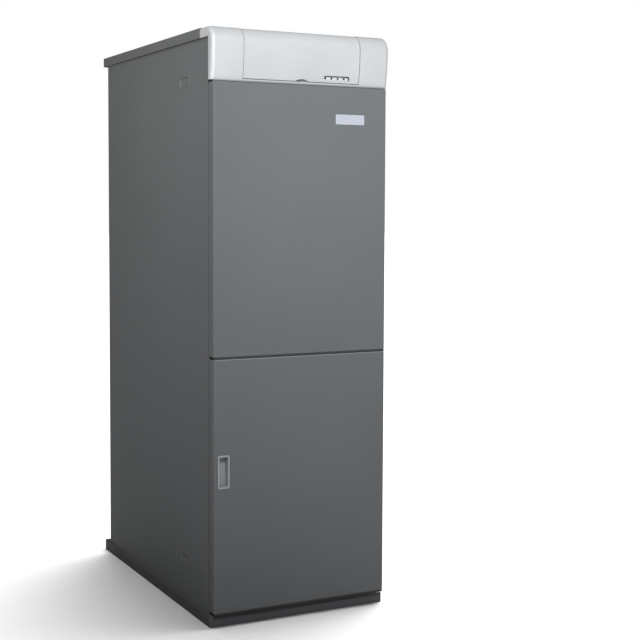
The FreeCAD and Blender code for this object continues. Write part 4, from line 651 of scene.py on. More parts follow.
def bar(low: np.ndarray, high: np.ndarray, edge: float, along: int) -> Patch:
    """A straight bar with a rounded section and softly closed ends.

    The section is a rounded rectangle. It is carried from one end to the other, and drawn in to
    nothing over a quarter circle at each end.

    Args:
        low: lowest corner.
        high: highest corner.
        edge: edge radius.
        along: number of the axis the bar runs along.

    Returns:
        The closed surface.
    """
    others = [index for index in range(3) if index != along]
    swell = np.linspace(0.0, math.pi / 2, BAR_CORNER_STEPS)
    start = low[along] + edge * (1.0 - np.sin(swell))
    end = high[along] - edge * (1.0 - np.sin(swell[::-1]))
    place = np.concatenate([[low[along]], start[::-1], end[::-1], [high[along]]])
    place = np.sort(place)
    near = np.minimum(place - low[along], high[along] - place)
    pull = edge - np.sqrt(np.maximum(edge**2 - np.maximum(edge - near, 0.0) ** 2, 0.0))
    half = (high - low) / 2
    middle = (high + low) / 2
    pull[0] = min(half[others[0]], half[others[1]])
    pull[-1] = pull[0]
    half_a = np.maximum(half[others[0]] - pull, 0.0)
    half_b = np.maximum(half[others[1]] - pull, 0.0)
    radius = np.minimum(np.full_like(half_a, edge), np.minimum(half_a, half_b))
    flat = rounded_outline(half_a, half_b, radius, BAR_CORNER_STEPS)
    points = np.empty(flat.shape[:2] + (3,))
    points[..., along] = place[:, None]
    points[..., others[0]] = middle[others[0]] + flat[..., 0]
    points[..., others[1]] = middle[others[1]] + flat[..., 1]
    return Patch(points, ring_columns=True)


def corners(node: str) -> tuple[np.ndarray, np.ndarray]:
    """Gives a CAD node's lowest and highest corner as arrays."""
    low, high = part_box(node)
    return np.array(low), np.array(high)


@dataclass
class FrontTrim:
    """Handle, badge place, seals and sound boards of the front panels."""

    bench: Workbench
    handle_bezel: float = 0.0045
    handle_wall: float = 0.0012
    handle_proud: float = 0.002
    handle_corner: float = 0.004
    handle_lip: float = 0.0003
    handle_crown: float = 0.0009
    handle_shoulder: float = 0.0012
    crown_steps: int = 9
    back_ease: float = 0.0004
    back_round: float = 0.0005
    pocket_round: float = 0.0030
    pocket_draft: float = 0.0002
    pocket_ease: float = 0.0008
    badge_corner: float = 0.003
    badge_rim: float = 0.0016
    badge_round: float = 0.0003
    badge_crest: float = 0.0007
    badge_fall: float = 0.0004
    badge_section: tuple[float, ...] = (1.0, 1.0, 0.3, 0.06, 0.0, 0.0, 0.22, 0.22)
    seal_width: float = 0.0015
    latch_seal: float = 0.0029
    hinge_seal: float = 0.0014
    hinge_room: float = 0.04
    gap_end: float = 0.0008
    gap_set: float = 0.0013
    gap_thin: float = 0.003
    gap_deep: float = 0.0095
    gap_hold: float = 0.0008
    gap_play: float = 0.0008
    strap_height: float = 0.003
    hood_play: float = 0.0003
    gap_edge: float = 0.0006
    bead_proud: float = 0.0004
    bead_deep: float = 0.0030
    bead_drop: float = 0.0020
    bead_rise: float = 0.0006
    bead_edge: float = 0.0010
    board_thick: float = 0.012
    board_margin: float = 0.016
    board_round: float = 0.008
    board_flat: float = 0.72
    board_room: float = 0.004
    handle_room: float = 0.034
    board_steps: tuple[int, int] = (91, 121)
    pillow_rise: float = 0.28
    pillow_pitch: float = 0.05
    sheet: float = 0.0015

    def build(self) -> None:
        """Makes every piece of the front."""
        self.handle()
        self.badge()
        self.seals()
        self.gap_seals()
        self.door_bead()
        self.sound_boards()

    def handle(self) -> None:
        """Recessed pull with a crowned bezel and a drafted pocket.

        The section runs from the back of the pocket, along its outer wall to the door's face, over
        the bezel in a shallow crown, and down the inner wall to the pocket's floor.
        """
        low, high = corners("handle_cup")
        centre = ((low[0] + high[0]) / 2, (low[2] + high[2]) / 2)
        half = ((high[0] - low[0]) / 2, (high[2] - low[2]) / 2)
        front, back = low[1], high[1]
        face = front + self.handle_proud
        outer = self.handle_bezel - self.handle_wall
        inner = self.handle_bezel
        shoulder = front + self.handle_shoulder
        floor = back - self.handle_wall
        crown = np.linspace(0.0, 1.0, self.crown_steps)
        crown_inset = self.handle_lip + crown * (self.handle_bezel - 2 * self.handle_lip)
        crown_depth = front + self.handle_crown * (2 * crown - 1.0) ** 4
        inset = np.concatenate([
            [half[0], outer + self.back_ease, outer, outer, 0.0, 0.0],
            crown_inset,
            [inner, inner + self.pocket_draft, inner + self.pocket_ease, half[0]],
        ])
        depth = np.concatenate([
            [back, back, back - self.back_round, face, face, shoulder],
            crown_depth,
            [shoulder, back - self.pocket_round, floor - self.pocket_draft, floor],
        ])
        cup = moulded_plate(centre, half, self.handle_corner, inset, depth)
        item = self.bench.piece("handle_pull", [cup], HANDLE_PAINT, "door", "silver_hood")
        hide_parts("handle_cup")

    def badge(self) -> None:
        """Bare plate with a fine raised rim round a sunk field.

        The section climbs from the panel over the rim, drops by about a fifth of the thickness and
        runs flat to the middle. Its depths are shares of the thickness.
        """
        low, high = corners("badge_plate")
        centre = ((low[0] + high[0]) / 2, (low[2] + high[2]) / 2)
        half = ((high[0] - low[0]) / 2, (high[2] - low[2]) / 2)
        front, back = low[1], high[1]
        rim = self.badge_rim
        inset = np.array([
            half[1], 0.0, 0.0, self.badge_round, self.badge_crest, rim, rim + self.badge_fall, half[1],
        ])
        depth = front + (back - front) * np.array(self.badge_section)
        plate = moulded_plate(centre, half, self.badge_corner, inset, depth)
        item = self.bench.piece("badge_place", [plate], BADGE_PLATE, "front_panel", "badge")
        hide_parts("badge_plate")

    def seals(self) -> None:
        """Soft seals on the side flanges, behind the front panels' edges: thinner on the hinge side."""
        case_low, case_high = corners("right_side_panel")
        door_low, door_high = corners("lower_door")
        panel_low, panel_high = corners("upper_front_panel")
        outside = case_high[0] - self.gap_end
        sides = ((-1.0, self.latch_seal, self.sheet), (1.0, self.hinge_seal, self.hinge_room))
        strips = []
        for side, thick, room in sides:
            reach = sorted((side * outside, side * (outside - self.seal_width)))
            spans = (
                (door_low[2] + self.sheet, door_high[2] - room),
                (panel_low[2] + self.sheet, panel_high[2] - self.sheet),
            )
            for bottom, top in spans:
                low = np.array([reach[0], case_low[1] - thick, bottom])
                high = np.array([reach[1], case_low[1], top])
                strips.append(bar(low, high, self.gap_edge, 2))
        self.bench.piece("panel_seals", strips, BLACK_RUBBER, "casing", "gland")

    def gap_seals(self) -> None:
        """Foam strips in the level gaps, in front of the hinge straps.

        One hangs under the door, one under the upper panel and one under the hood, paler there as painted
        light against the hood's shade.
        """
        door_low, door_high = corners("lower_door")
        panel_low, panel_high = corners("upper_front_panel")
        hood_low = corners("hood_frame")[0]
        strap_top = corners("door_hinges")[0][2] + self.strap_height
        left, right = door_low[0] + self.gap_end, door_high[0] - self.gap_end
        front = door_low[1] + self.gap_set
        rows = (
            ("door_foot_seal", "door", GREY_FOAM, strap_top + self.gap_play, door_low[2] + self.gap_hold,
             self.gap_thin),
            ("panel_foot_seal", "front_panel", GREY_FOAM, door_high[2] + self.gap_play,
             panel_low[2] + self.gap_hold, self.gap_thin),
            ("hood_seal", "casing", PAINTED_LIGHT_FOAM, panel_high[2] + self.hood_play, hood_low[2], self.gap_deep),
        )
        for name, body, finish, bottom, top, deep in rows:
            low = np.array([left, front, bottom])
            high = np.array([right, front + deep, top])
            self.bench.piece(name, [bar(low, high, self.gap_edge, 0)], finish, body, "gland")

    def door_bead(self) -> None:
        """Half-round bead rolled along the door's top edge, in a lighter paint that is a painted highlight of
        the edge catching the light from above.
        """
        low, high = corners("lower_door")
        bead = bar(
            np.array([low[0] + self.gap_end, low[1] - self.bead_proud, high[2] - self.bead_drop]),
            np.array([high[0] - self.gap_end, low[1] + self.bead_deep, high[2] + self.bead_rise]),
            self.bead_edge, 0,
        )
        self.bench.piece("door_top_bead", [bead], EDGE_HIGHLIGHT_PAINT, "door", "casing_paint")

    def board_grid(self) -> tuple[np.ndarray, np.ndarray]:
        """Spreads grid points evenly over a board.

        Returns:
            The share across and the share upwards of every point, from 0 to 1.
        """
        across = np.linspace(0.0, 1.0, self.board_steps[0])
        upwards = np.linspace(0.0, 1.0, self.board_steps[1])
        u, v = np.meshgrid(across, upwards, indexing="ij")
        return u, v

    def quilted_board(self, low: np.ndarray, high: np.ndarray) -> Patch:
        """Board with a foil face pressed into shallow square pillows, and rounded edges.

        The pillows follow the root of the product of two absolute sines of the place over the pitch.
        The depth falls to the back round the border.

        Args:
            low: lowest corner of the board.
            high: highest corner of the board.

        Returns:
            The face with its edges, pillows towards +Y, open at the back.
        """
        u, v = self.board_grid()
        width, height = high[0] - low[0], high[2] - low[2]
        count_x, count_z = round(width / self.pillow_pitch), round(height / self.pillow_pitch)
        pillow = np.abs(np.sin(math.pi * count_x * u)) * np.abs(np.sin(math.pi * count_z * v))
        border = np.minimum(np.minimum(u, 1 - u) * width, np.minimum(v, 1 - v) * height)
        rise = np.sqrt(np.clip(border / self.board_round, 0.0, 1.0))
        thick = high[1] - low[1]
        depth = low[1] + thick * rise * (self.board_flat + self.pillow_rise * np.sqrt(pillow))
        points = np.stack([low[0] + u * width, depth, low[2] + v * height], axis=-1)
        return Patch(points)

    def flat_back(self, low: np.ndarray, high: np.ndarray) -> Patch:
        """Flat back of a board, with as many points along its border as the face.

        Args:
            low: lowest corner of the board.
            high: highest corner of the board.

        Returns:
            The flat surface, facing -Y.
        """
        u, v = self.board_grid()
        size = high - low
        points = [low[0] + u * size[0], np.full_like(u, low[1]), low[2] + v * size[2]]
        return Patch(np.stack(points, axis=-1))

    def sound_boards(self) -> None:
        """Foil-faced sound boards glued into the door's tray and the upper panel's tray."""
        rows = (
            ("door_board", "lower_door", "door", self.handle_room),
            ("panel_board", "upper_front_panel", "front_panel", self.board_room),
        )
        for name, node, body, left_room in rows:
            low, high = corners(node)
            start = low + np.array([self.board_margin + left_room, self.sheet, self.board_margin])
            end = np.array([
                high[0] - self.board_margin - self.board_room,
                low[1] + self.sheet + self.board_thick,
                high[2] - self.board_margin,
            ])
            patches = [self.quilted_board(start, end), self.flat_back(start, end)]
            self.bench.piece(name, patches, FOIL_BOARD, body, "mineral_board")


@dataclass
class SideTrim:
    """Rimmed dishes of the marks stamped into the sides."""

    bench: Workbench
    mark_from_front: float = 0.148
    mark_levels: tuple[float, float] = (0.125, 1.284)
    mark_half: tuple[float, float] = (0.03, 0.012)
    mark_corner: float = 0.007
    mark_depth: float = 0.0008
    mark_slope: float = 0.0016
    rim_height: float = 0.0012
    rim_width: float = 0.0030
    slope_steps: int = 7
    hair: float = 0.00004

    def build(self) -> None:
        """Makes the four dishes.

        The section runs from the hidden back to the side's face, outwards under the rim, up its slow
        outer slope to the crest, and down a steep slope to the flat middle.
        """
        middle = self.mark_half[1]
        slope = np.linspace(0.0, 1.0, self.slope_steps)
        swell = 0.5 - 0.5 * np.cos(math.pi * slope)
        floor = self.mark_depth - 2 * self.hair
        inset = np.concatenate([
            [middle, self.hair, self.hair],
            -self.rim_width * (1.0 - slope),
            self.mark_slope * slope[1:],
            [middle],
        ])
        deep = np.concatenate([
            [self.mark_depth - self.hair, self.mark_depth - self.hair, 0.0],
            -self.rim_height * swell,
            (floor + self.rim_height) * swell[1:] - self.rim_height,
            [floor],
        ])
        dishes = []
        for node, side in (("left_side_panel", -1.0), ("right_side_panel", 1.0)):
            low, high = corners(node)
            face = high[0] if side > 0 else low[0]
            for level in self.mark_levels:
                centre = (low[1] + self.mark_from_front, level)
                dishes.append(moulded_plate(
                    centre, self.mark_half, self.mark_corner, inset, face - side * deep, across=1,
                ))
        self.bench.piece("mark_dishes", dishes, CASING_PAINT, "casing", "casing_paint")


GRIP_SECTION = np.array([
    [-0.0004, 0.0], [-0.0003, 0.45], [0.0, 0.80], [0.0006, 0.885], [0.0016, 0.90],
])
SKIRT_SECTION = np.array([
    [-0.0044, 0.905], [-0.0034, 0.91], [-0.0030, 0.985], [-0.0026, 1.0], [-0.0006, 1.0], [0.0, 0.97],
])


@dataclass
class HoodTrim:
    """Lamps and a dark frame of painted shadow round them, finger scoop, knob skins and gauge marks of the
    hood.
    """

    bench: Workbench
    lamp_count: int = 4
    lamp_rim: float = 0.0004
    dome_steps: int = 8
    dome_sides: int = 24
    frame_margin: float = 0.0006
    frame_left: float = 0.003
    right_shadow: float = 0.0045
    frame_foot: float = 0.003
    brow_shadow: float = 0.0045
    frame_thin: float = 0.0006
    frame_lean: float = 0.12
    frame_steps: int = 9
    scoop_half: float = 0.019
    scoop_height: float = 0.0075
    scoop_deep: float = 0.006
    scoop_wall: float = 0.001
    scoop_lean: float = 0.19
    scoop_set: float = 0.0008
    scoop_steps: tuple[int, int] = (41, 13)
    flutes: int = 28
    flute_steps: int = 8
    flute_power: int = 3
    flute_depth: float = 0.035
    flute_start: int = 3
    flute_fade: tuple[float, ...] = (0.6, 1.0, 1.0, 0.4)
    knob_ridge: float = 0.0025
    knob_depth: float = 0.010
    shaft_radius: float = 0.003
    shaft_round: float = 0.0003
    shaft_tip: float = 0.9
    ridge_half: float = 0.0029
    ridge_share: float = 0.78
    ridge_sink: float = 0.001
    ridge_edge: float = 0.0012
    pointer_half: float = 0.0007
    pointer_span: tuple[float, float] = (0.3, 0.74)
    pointer_proud: float = 0.0001
    pointer_sink: float = 0.0008
    pointer_edge: float = 0.0003
    tick_count: int = 25
    tick_group: int = 4
    tick_lengths: tuple[float, float] = (0.0042, 0.0024)
    tick_halves: tuple[float, float] = (0.0005, 0.0003)
    tick_thick: float = 0.00015
    tick_margin: float = 0.0012
    dial_sink: float = 0.005
    sweep: float = math.radians(240)

    def build(self) -> None:
        """Makes every piece of the hood."""
        self.lamps()
        self.lamp_shadow_frame()
        self.finger_scoop()
        self.knob("boiler_knob", "boiler_knob_skin")
        self.knob("hot_water_knob", "hot_water_knob_skin")
        self.dial_marks()

    def lamps(self) -> None:
        """Domed lamp lenses in a row.

        Each dome is half an ellipse turned about Y: its radius follows a cosine and its height a sine.
        """
        low, high = corners("indicator_lamps")
        radius = (high[2] - low[2]) / 2
        height = (low[2] + high[2]) / 2
        rise = high[1] - low[1]
        angle = np.linspace(0.0, math.pi / 2, self.dome_steps)
        along = np.concatenate([[0.0], rise * np.sin(angle)])
        reach = np.concatenate([[0.0], (radius + self.lamp_rim) * np.cos(angle)])
        reach[-1] = 0.0
        places = np.linspace(low[0] + radius, high[0] - radius, self.lamp_count)
        axis = np.array([0.0, -1.0, 0.0])
        domes = [
            turned(np.array([x, high[1], height]), axis, along, reach, self.dome_sides) for x in places
        ]
        item = self.bench.piece("lamp_lenses", domes, LAMP_RED, "casing", "lamps")
        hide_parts("indicator_lamps")

    def lamp_shadow_frame(self) -> None:
        """Dark frame round the lamps, a painted shadow of the window's edges: wider along the top as a brow
        and at the right end.

        Its four rings are rounded rectangles: back and front of the outer edge, then front and back
        of the inner edge. The front leans forwards with height, as the flap does.
        """
        low, high = corners("indicator_strip")
        outer_low = low[[0, 2]] + self.frame_margin
        outer_high = high[[0, 2]] - self.frame_margin
        inner_low = low[[0, 2]] + np.array([self.frame_left, self.frame_foot])
        inner_high = high[[0, 2]] - np.array([self.right_shadow, self.brow_shadow])
        ends = np.array([[outer_low, outer_high]] * 2 + [[inner_low, inner_high]] * 2)
        half = (ends[:, 1] - ends[:, 0]) / 2
        flat = rounded_outline(half[:, 0], half[:, 1], half[:, 1], self.frame_steps)
        flat = flat + ends.mean(axis=1)[:, None, :]
        thick = self.frame_thin + self.frame_lean * (flat[..., 1] - low[2])
        proud = np.array([0.0, 1.0, 1.0, 0.0])[:, None]
        points = np.stack([flat[..., 0], low[1] - proud * thick, flat[..., 1]], axis=-1)
        frame = Patch(points, ring_rows=True, ring_columns=True)
        # The dark plastic paints the shadow that the window's edges cast on the lamp strip.
        self.bench.piece("lamp_shadow_frame", [frame], CONTROL_PLASTIC, "casing", "controls")

    def finger_scoop(self) -> None:
        """Hollow behind the flap's finger notch.

        Its outline is half an ellipse on the flap's inner face. The hollow's depth falls from the
        middle of the bottom edge with the squares of the places across and upwards.
        """
        bottom = corners("control_flap")[0][2]
        face = corners("indicator_strip")[0][1] - self.scoop_set
        across = np.linspace(-1.0, 1.0, self.scoop_steps[0])
        upwards = np.linspace(0.0, 1.0, self.scoop_steps[1])
        u, v = np.meshgrid(across, upwards, indexing="ij")
        rise = self.scoop_height * np.sqrt(np.maximum(1.0 - u**2, 0.0)) * v
        x = self.scoop_half * u
        front = face - self.scoop_lean * rise + self.scoop_deep * (1.0 - u**2) * (1.0 - v**2)
        inner = np.stack([x, front, bottom + rise], axis=-1)
        outer = np.stack([x, front + self.scoop_wall, bottom + rise], axis=-1)
        shell = Patch(np.concatenate([inner, outer[:, ::-1]], axis=1), ring_columns=True)
        self.bench.piece("finger_scoop", [shell], SILVER_PAINT, "flap", "silver_hood")

    def knob(self, node: str, name: str) -> None:
        """Fluted knob with a skirt, a crowned face, a grip ridge and its shaft.

        The radius of the grip is drawn in by a power of the cosine of many times the angle. The
        sections give the depth behind the face, or behind the skirt's back, and the share of the radius.

        Args:
            node: the CAD knob, also the name of its body.
            name: name of the new piece.
        """
        low, high = corners(node)
        centre = np.array([(low[0] + high[0]) / 2, 0.0, (low[2] + high[2]) / 2])
        radius = (high[0] - low[0]) / 2
        front = low[1]
        face = front + self.knob_ridge
        rear = face + self.knob_depth
        shaft = self.shaft_radius
        section = np.concatenate([
            GRIP_SECTION * [1.0, radius] + [face, 0.0],
            SKIRT_SECTION * [1.0, radius] + [rear, 0.0],
            [[rear, shaft], [high[1] - self.shaft_round, shaft]],
            [[high[1], shaft * self.shaft_tip], [high[1], 0.0]],
        ])
        steps = self.flutes * self.flute_steps
        angle = np.linspace(0.0, 2 * math.pi, steps, endpoint=False)
        flute = np.abs(np.cos(angle * self.flutes / 2)) ** self.flute_power
        fluted = np.zeros(len(section))
        flute_end = self.flute_start + len(self.flute_fade)
        fluted[self.flute_start:flute_end] = self.flute_depth * np.array(self.flute_fade)
        reach = section[:, 1][:, None] * (1.0 - fluted[:, None] * flute[None, :])
        dial = turned(centre, np.array([0.0, 1.0, 0.0]), section[:, 0], reach, steps)
        reach_up = radius * self.ridge_share
        ridge = bar(
            np.array([centre[0] - self.ridge_half, front, centre[2] - reach_up]),
            np.array([centre[0] + self.ridge_half, face + self.ridge_sink, centre[2] + reach_up]),
            self.ridge_edge, 2,
        )
        start, end = (centre[2] + radius * share for share in self.pointer_span)
        pointer = bar(
            np.array([centre[0] - self.pointer_half, front - self.pointer_proud, start]),
            np.array([centre[0] + self.pointer_half, front + self.pointer_sink, end]),
            self.pointer_edge, 2,
        )
        item = self.bench.piece(name, [dial, ridge], CONTROL_PLASTIC, node, "controls")
        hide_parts(node)
        self.bench.piece(name + "_pointer", [pointer], DIAL_WHITE, node, "gauge")

    def dial_marks(self) -> None:
        """Tick marks round the gauge's dial: long ones at every fourth place.

        Tick k stands at an angle that runs evenly over the sweep, as a thin flat bar along the radius.
        """
        low, high = corners("gauge_case")
        lens_low, lens_high = corners("gauge_lens")
        centre = np.array([(low[0] + high[0]) / 2, 0.0, (low[2] + high[2]) / 2])
        outer = (lens_high[0] - lens_low[0]) / 2 - self.tick_margin
        dial = low[1] + self.dial_sink
        turn = np.linspace(-self.sweep / 2, self.sweep / 2, self.tick_count)
        is_long = np.arange(self.tick_count) % self.tick_group == 0
        length = np.where(is_long, *self.tick_lengths)
        width = np.where(is_long, *self.tick_halves)
        out = np.stack([np.sin(turn), np.zeros_like(turn), np.cos(turn)], axis=-1)
        across = np.stack([np.cos(turn), np.zeros_like(turn), -np.sin(turn)], axis=-1)
        ring = np.array([[-1.0, 0.0], [1.0, 0.0], [1.0, 1.0], [-1.0, 1.0]])
        near = (outer - length)[:, None, None] * out[:, None, :]
        far = np.full_like(length, outer)[:, None, None] * out[:, None, :]
        side = width[:, None, None] * across[:, None, :] * ring[None, :, 0, None]
        lift = ring[None, :, 1, None] * np.array([0.0, -self.tick_thick, 0.0])
        base = centre + np.array([0.0, dial, 0.0])
        ends = np.stack([base + near + side + lift, base + far + side + lift], axis=1)
        poles = ends.mean(axis=2, keepdims=True).repeat(len(ring), axis=2)
        shut = np.concatenate([poles[:, :1], ends, poles[:, 1:]], axis=1)
        ticks = [Patch(block, ring_columns=True) for block in shut]
        self.bench.piece("dial_ticks", ticks, CONTROL_PLASTIC, "casing", "controls")


@dataclass
class RearTrim:
    """Screws and louvre scoops of the rear panel."""

    bench: Workbench
    screw_radius: float = 0.005
    screw_rows: int = 6
    screw_seat: float = 0.0015
    screw_steps: tuple[int, int] = (25, 72)
    dome_power: float = 2.6
    cross_half: float = 0.0007
    cross_reach: float = 0.58
    cross_fade: float = 0.1
    cross_depth: float = 0.0013
    louvre_count: int = 9
    louvre_pitch: float = 0.014
    louvre_width: float = 0.07
    louvre_x: float = 0.12
    louvre_bottom: float = 0.2
    louvre_lap: float = 0.003
    slot_height: float = 0.0085
    scoop_depth: float = 0.0055
    scoop_height: float = 0.0095
    scoop_wall: float = 0.001
    scoop_steps: tuple[int, int] = (33, 9)
    end_power: int = 8
    end_drop: float = 0.25

    def build(self) -> None:
        """Makes every piece of the rear."""
        self.screws()
        self.louvres()

    def screws(self) -> None:
        """Pan-head screws with a cross recess.

        The head is a dome over a disc. The recess is a smooth cross: the dome is lowered where the
        smaller of the two distances from the cross's arms is short and the radius is under the arm.
        """
        low, high = corners("casing_screws")
        seat = corners("rear_panel")[1][1] + self.screw_seat
        rise = high[1] - seat
        rings, sides_round = self.screw_steps
        ring = np.linspace(0.0, 1.0, rings)
        angle = np.linspace(0.0, 2 * math.pi, sides_round, endpoint=False)
        r, t = np.meshgrid(ring, angle, indexing="ij")
        dome = rise * np.sqrt(np.clip(1.0 - r**self.dome_power, 0.0, 1.0))
        arm = np.minimum(np.abs(np.cos(t)), np.abs(np.sin(t))) * r * self.screw_radius
        narrow = np.clip(1.0 - arm / self.cross_half, 0.0, 1.0)
        short = np.clip((self.cross_reach - r) / self.cross_fade, 0.0, 1.0)
        lift = dome - self.cross_depth * narrow * short
        head = np.stack([
            r * self.screw_radius * np.cos(t), seat + lift, r * self.screw_radius * np.sin(t),
        ], axis=-1)
        levels = np.linspace(low[2] + self.screw_radius, high[2] - self.screw_radius, self.screw_rows)
        sides = (low[0] + self.screw_radius, high[0] - self.screw_radius)
        heads = []
        for side in sides:
            for level in levels:
                heads.append(Patch(head + np.array([side, 0.0, level]), ring_columns=True))
                heads.append(turned(
                    np.array([side, 0.0, level]), np.array([0.0, 1.0, 0.0]),
                    np.array([seat, seat]), np.array([0.0, self.screw_radius]), sides_round,
                ))
        item = self.bench.piece("rear_screws", heads, BRIGHT_STEEL, "casing", "fasteners")
        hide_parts("casing_screws")

    def louvres(self) -> None:
        """Pressed scoops over the rear panel's slots.

        Each scoop's section is a quarter ellipse from the panel out and down. It is drawn in to the
        panel towards both ends by one less the eighth power of the place along the slot.
        """
        rear = corners("rear_panel")[1][1]
        u = np.linspace(-1.0, 1.0, self.scoop_steps[0])
        v = np.linspace(0.0, math.pi / 2, self.scoop_steps[1])
        swell = (1.0 - u**self.end_power)[:, None]
        x = np.repeat((u * (self.louvre_width / 2 + self.louvre_lap))[:, None], len(v), axis=1)
        out = self.scoop_depth * np.sin(v)[None, :] * swell
        drop = self.scoop_height * (1.0 - np.cos(v))[None, :] * np.maximum(swell, self.end_drop)
        outer = np.stack([x, rear + out, -drop], axis=-1)
        inner = np.stack([x, rear + np.maximum(out - self.scoop_wall, 0.0), -drop], axis=-1)
        section = np.concatenate([outer, inner[:, ::-1]], axis=1)
        levels = self.louvre_bottom + self.louvre_pitch * np.arange(self.louvre_count) + self.slot_height
        scoops = []
        for side in (-self.louvre_x, self.louvre_x):
            for level in levels:
                scoops.append(Patch(section + np.array([side, 0.0, level]), ring_columns=True))
        self.bench.piece("louvre_scoops", scoops, ZINC_SHEET, "casing", "zinc_sheet")


@dataclass
class TankTrim:
    """Straps round the tank's foam shell."""

    bench: Workbench
    strap_width: float = 0.016
    strap_thick: float = 0.0008
    strap_edge: float = 0.0006
    strap_levels: tuple[float, float] = (0.2, 0.8)
    strap_steps: int = 128

    def build(self) -> None:
        """Makes the straps."""
        self.tank_straps()

    def tank_straps(self) -> None:
        """Steel straps: a thin rounded section turned about the tank's axis."""
        low, high = corners("tank_insulation")
        centre = np.array([(low[0] + high[0]) / 2, (low[1] + high[1]) / 2, 0.0])
        radius = (high[0] - low[0]) / 2
        half = self.strap_width / 2
        flat = half - self.strap_edge
        across = np.array([-half, -half, -flat, flat, half, half, -half])
        thick = np.array([0.0, 0.5, 1.0, 1.0, 0.5, 0.0, 0.0]) * self.strap_thick
        straps = []
        for share in self.strap_levels:
            level = low[2] + share * (high[2] - low[2])
            straps.append(turned(
                centre + np.array([0.0, 0.0, level]), np.array([0.0, 0.0, 1.0]), across, radius + thick,
                self.strap_steps,
            ))
        self.bench.piece("tank_straps", straps, BRIGHT_STEEL, "casing", "fasteners")


@dataclass(frozen=True)
class Lamp:
    """One studio lamp.

    The power is in watts, or the strength of a sun. The angle in degrees is the spread of a box, or
    the width of a sun. The box holds the width and height of an area lamp.
    """

    name: str
    kind: LampKind
    place: Point
    aim: Point
    power: float
    colour: Colour
    angle: float
    box: tuple[float, float] = (0.0, 0.0)


FRONT_BOX = Lamp(
    "front_box", LampKind.AREA, place=(-0.8, -2.3, 2.1), aim=(0.25, -0.41, 1.1), power=20.5,
    colour=(0.95, 0.98, 1.0), angle=65.0, box=(1.0, 0.6),
)
LEFT_BOX = Lamp(
    "left_box", LampKind.AREA, place=(-1.4, -0.05, 1.7), aim=(-0.23, -0.05, 1.33), power=1.9,
    colour=(1.0, 0.99, 0.95), angle=66.0, box=(1.1, 0.25),
)
HIGH_LIGHT = Lamp(
    "high_light", LampKind.SUN, place=(1.3, 0.75, 3.4), aim=(0.0, 0.0, 0.0), power=4.0,
    colour=(1.0, 1.0, 1.0), angle=48.0,
)


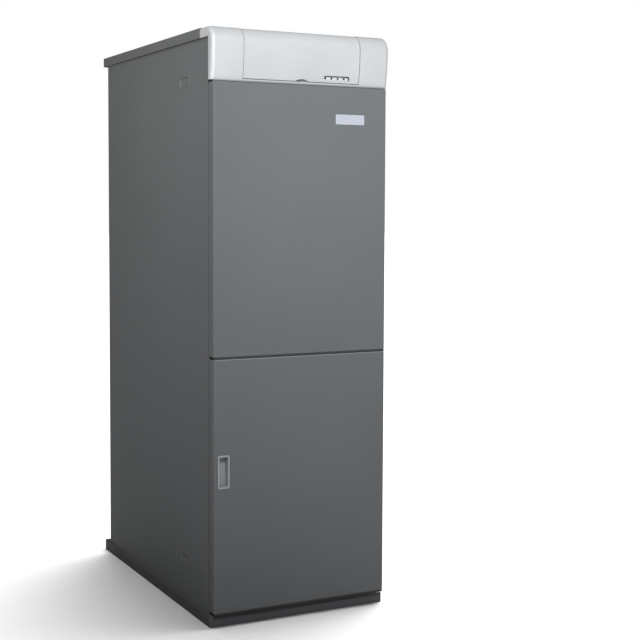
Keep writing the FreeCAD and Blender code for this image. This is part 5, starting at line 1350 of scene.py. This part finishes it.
@dataclass
class Studio:
    """Floor, light and camera."""

    shop: FinishShop
    focal_px: float = 1293.7
    image_px: float = 640.0
    middle_row_px: float = 285.0
    yaw: float = -27.219
    pitch: float = 3.468
    roll: float = 0.246
    camera_place: tuple[float, float, float] = (-1.3667, -3.1624, 0.98768)
    sensor: float = 36.0
    clip: tuple[float, float] = (0.05, 200.0)
    floor_half: float = 40.0
    sky_zenith: float = 1.6
    sky_fade: float = 4.0

    def build(self) -> None:
        """Sets up the whole studio."""
        self.lights(self.floor())
        self.surroundings()
        self.camera()

    def floor(self) -> bpy.types.Object:
        """Wide pale floor, a flat grid.

        Returns:
            The floor's object.
        """
        u, v = np.meshgrid(np.linspace(-1.0, 1.0, 3), np.linspace(-1.0, 1.0, 3), indexing="ij")
        points = np.stack([u * self.floor_half, v * self.floor_half, np.zeros_like(u)], axis=-1)
        patch = Patch(points)
        mesh = bpy.data.meshes.new("studio_floor")
        mesh.from_pydata(points.reshape(-1, 3).tolist(), [], patch.faces().tolist())
        mesh.flip_normals()
        mesh.materials.append(self.shop.get(FLOOR_PAPER))
        item = bpy.data.objects.new("studio_floor", mesh)
        bpy.context.scene.collection.objects.link(item)
        return item

    @staticmethod
    def lamp(setup: Lamp) -> bpy.types.Object:
        """Adds one lamp that the camera can't see.

        Args:
            setup: the lamp's kind, place, aim and light.

        Returns:
            The lamp's object.
        """
        data = bpy.data.lights.new(setup.name, setup.kind.value)
        data.energy = setup.power
        data.color = setup.colour
        if setup.kind is LampKind.AREA:
            data.shape = "RECTANGLE"
            data.size, data.size_y = setup.box
            data.spread = math.radians(setup.angle)
        else:
            data.angle = math.radians(setup.angle)
        item = bpy.data.objects.new(setup.name, data)
        item.location = setup.place
        aim = Vector(setup.aim) - Vector(setup.place)
        item.rotation_euler = aim.to_track_quat("-Z", "Y").to_euler()
        item.visible_camera = False
        bpy.context.scene.collection.objects.link(item)
        return item

    def lights(self, ground: bpy.types.Object) -> None:
        """A soft box at the front, a long one beside the left, and a broad high light from the right.

        The high light falls on the floor alone and the boxes leave the floor out, so that the floor
        shows one soft shadow.

        Args:
            ground: the floor's object.
        """
        links = {}
        for state in ("INCLUDE", "EXCLUDE"):
            links[state] = bpy.data.collections.new("floor_" + state.lower())
            links[state].objects.link(ground)
            links[state].collection_objects[0].light_linking.link_state = state
        for setup, state in ((FRONT_BOX, "EXCLUDE"), (LEFT_BOX, "EXCLUDE"), (HIGH_LIGHT, "INCLUDE")):
            self.lamp(setup).light_linking.receiver_collection = links[state]

    def surroundings(self) -> None:
        """White background, and a sky that is bright overhead and fades to the horizon.

        For light the strength is the zenith value times a power of the direction's height. For the
        background as seen it is 1.
        """
        world = bpy.data.worlds.new("white_room")
        world.use_nodes = True
        tree = world.node_tree
        place = tree.nodes.new("ShaderNodeTexCoord")
        split = tree.nodes.new("ShaderNodeSeparateXYZ")
        tree.links.new(place.outputs["Generated"], split.inputs["Vector"])
        height = tree.nodes.new("ShaderNodeMath")
        height.operation = "MAXIMUM"
        height.inputs[1].default_value = 0.0
        tree.links.new(split.outputs["Z"], height.inputs[0])
        fade = tree.nodes.new("ShaderNodeMath")
        fade.operation = "POWER"
        fade.inputs[1].default_value = self.sky_fade
        tree.links.new(height.outputs["Value"], fade.inputs[0])
        strength = tree.nodes.new("ShaderNodeMath")
        strength.operation = "MULTIPLY"
        strength.inputs[1].default_value = self.sky_zenith
        tree.links.new(fade.outputs["Value"], strength.inputs[0])
        ray = tree.nodes.new("ShaderNodeLightPath")
        choice = tree.nodes.new("ShaderNodeMix")
        choice.inputs[3].default_value = 1.0
        tree.links.new(ray.outputs["Is Camera Ray"], choice.inputs[0])
        tree.links.new(strength.outputs["Value"], choice.inputs[2])
        tree.links.new(choice.outputs[0], tree.nodes["Background"].inputs["Strength"])
        tree.nodes["Background"].inputs["Color"].default_value = (1.0, 1.0, 1.0, 1.0)
        bpy.context.scene.world = world
        bpy.context.scene.view_settings.view_transform = "Standard"

    def camera(self) -> None:
        """Camera at the photograph's place, turn and lens.

        The view direction comes from yaw and pitch, the picture's right and up from the roll about
        it, and the shift from the row that the lens axis meets.
        """
        a, b, c = (math.radians(value) for value in (self.yaw, self.pitch, self.roll))
        forward = Vector((-math.sin(a) * math.cos(b), math.cos(a) * math.cos(b), -math.sin(b)))
        level = Vector((math.cos(a), math.sin(a), 0.0))
        upright = level.cross(forward)
        right = level * math.cos(c) + upright * math.sin(c)
        up = upright * math.cos(c) - level * math.sin(c)
        data = bpy.data.cameras.new("photo_camera")
        data.sensor_width = self.sensor
        data.lens = self.sensor * self.focal_px / self.image_px
        data.shift_y = (self.middle_row_px - self.image_px / 2) / self.image_px
        data.clip_start, data.clip_end = self.clip
        item = bpy.data.objects.new("photo_camera", data)
        turn = Matrix((right, up, -forward)).transposed().to_4x4()
        item.matrix_world = Matrix.Translation(Vector(self.camera_place)) @ turn
        bpy.context.scene.collection.objects.link(item)
        bpy.context.scene.camera = item


def main() -> None:
    """Loads the frame, dresses it, adds the trim and sets up the studio."""
    logging.basicConfig(level=logging.INFO, format="%(name)s: %(message)s")
    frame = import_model()
    shop = FinishShop()
    bench = Workbench(shop)
    bench.dress_nodes(frame["nodes"])
    for trim in (FrontTrim(bench), SideTrim(bench), HoodTrim(bench), RearTrim(bench), TankTrim(bench)):
        trim.build()
    Studio(shop).build()


if __name__ == "__main__":
    main()
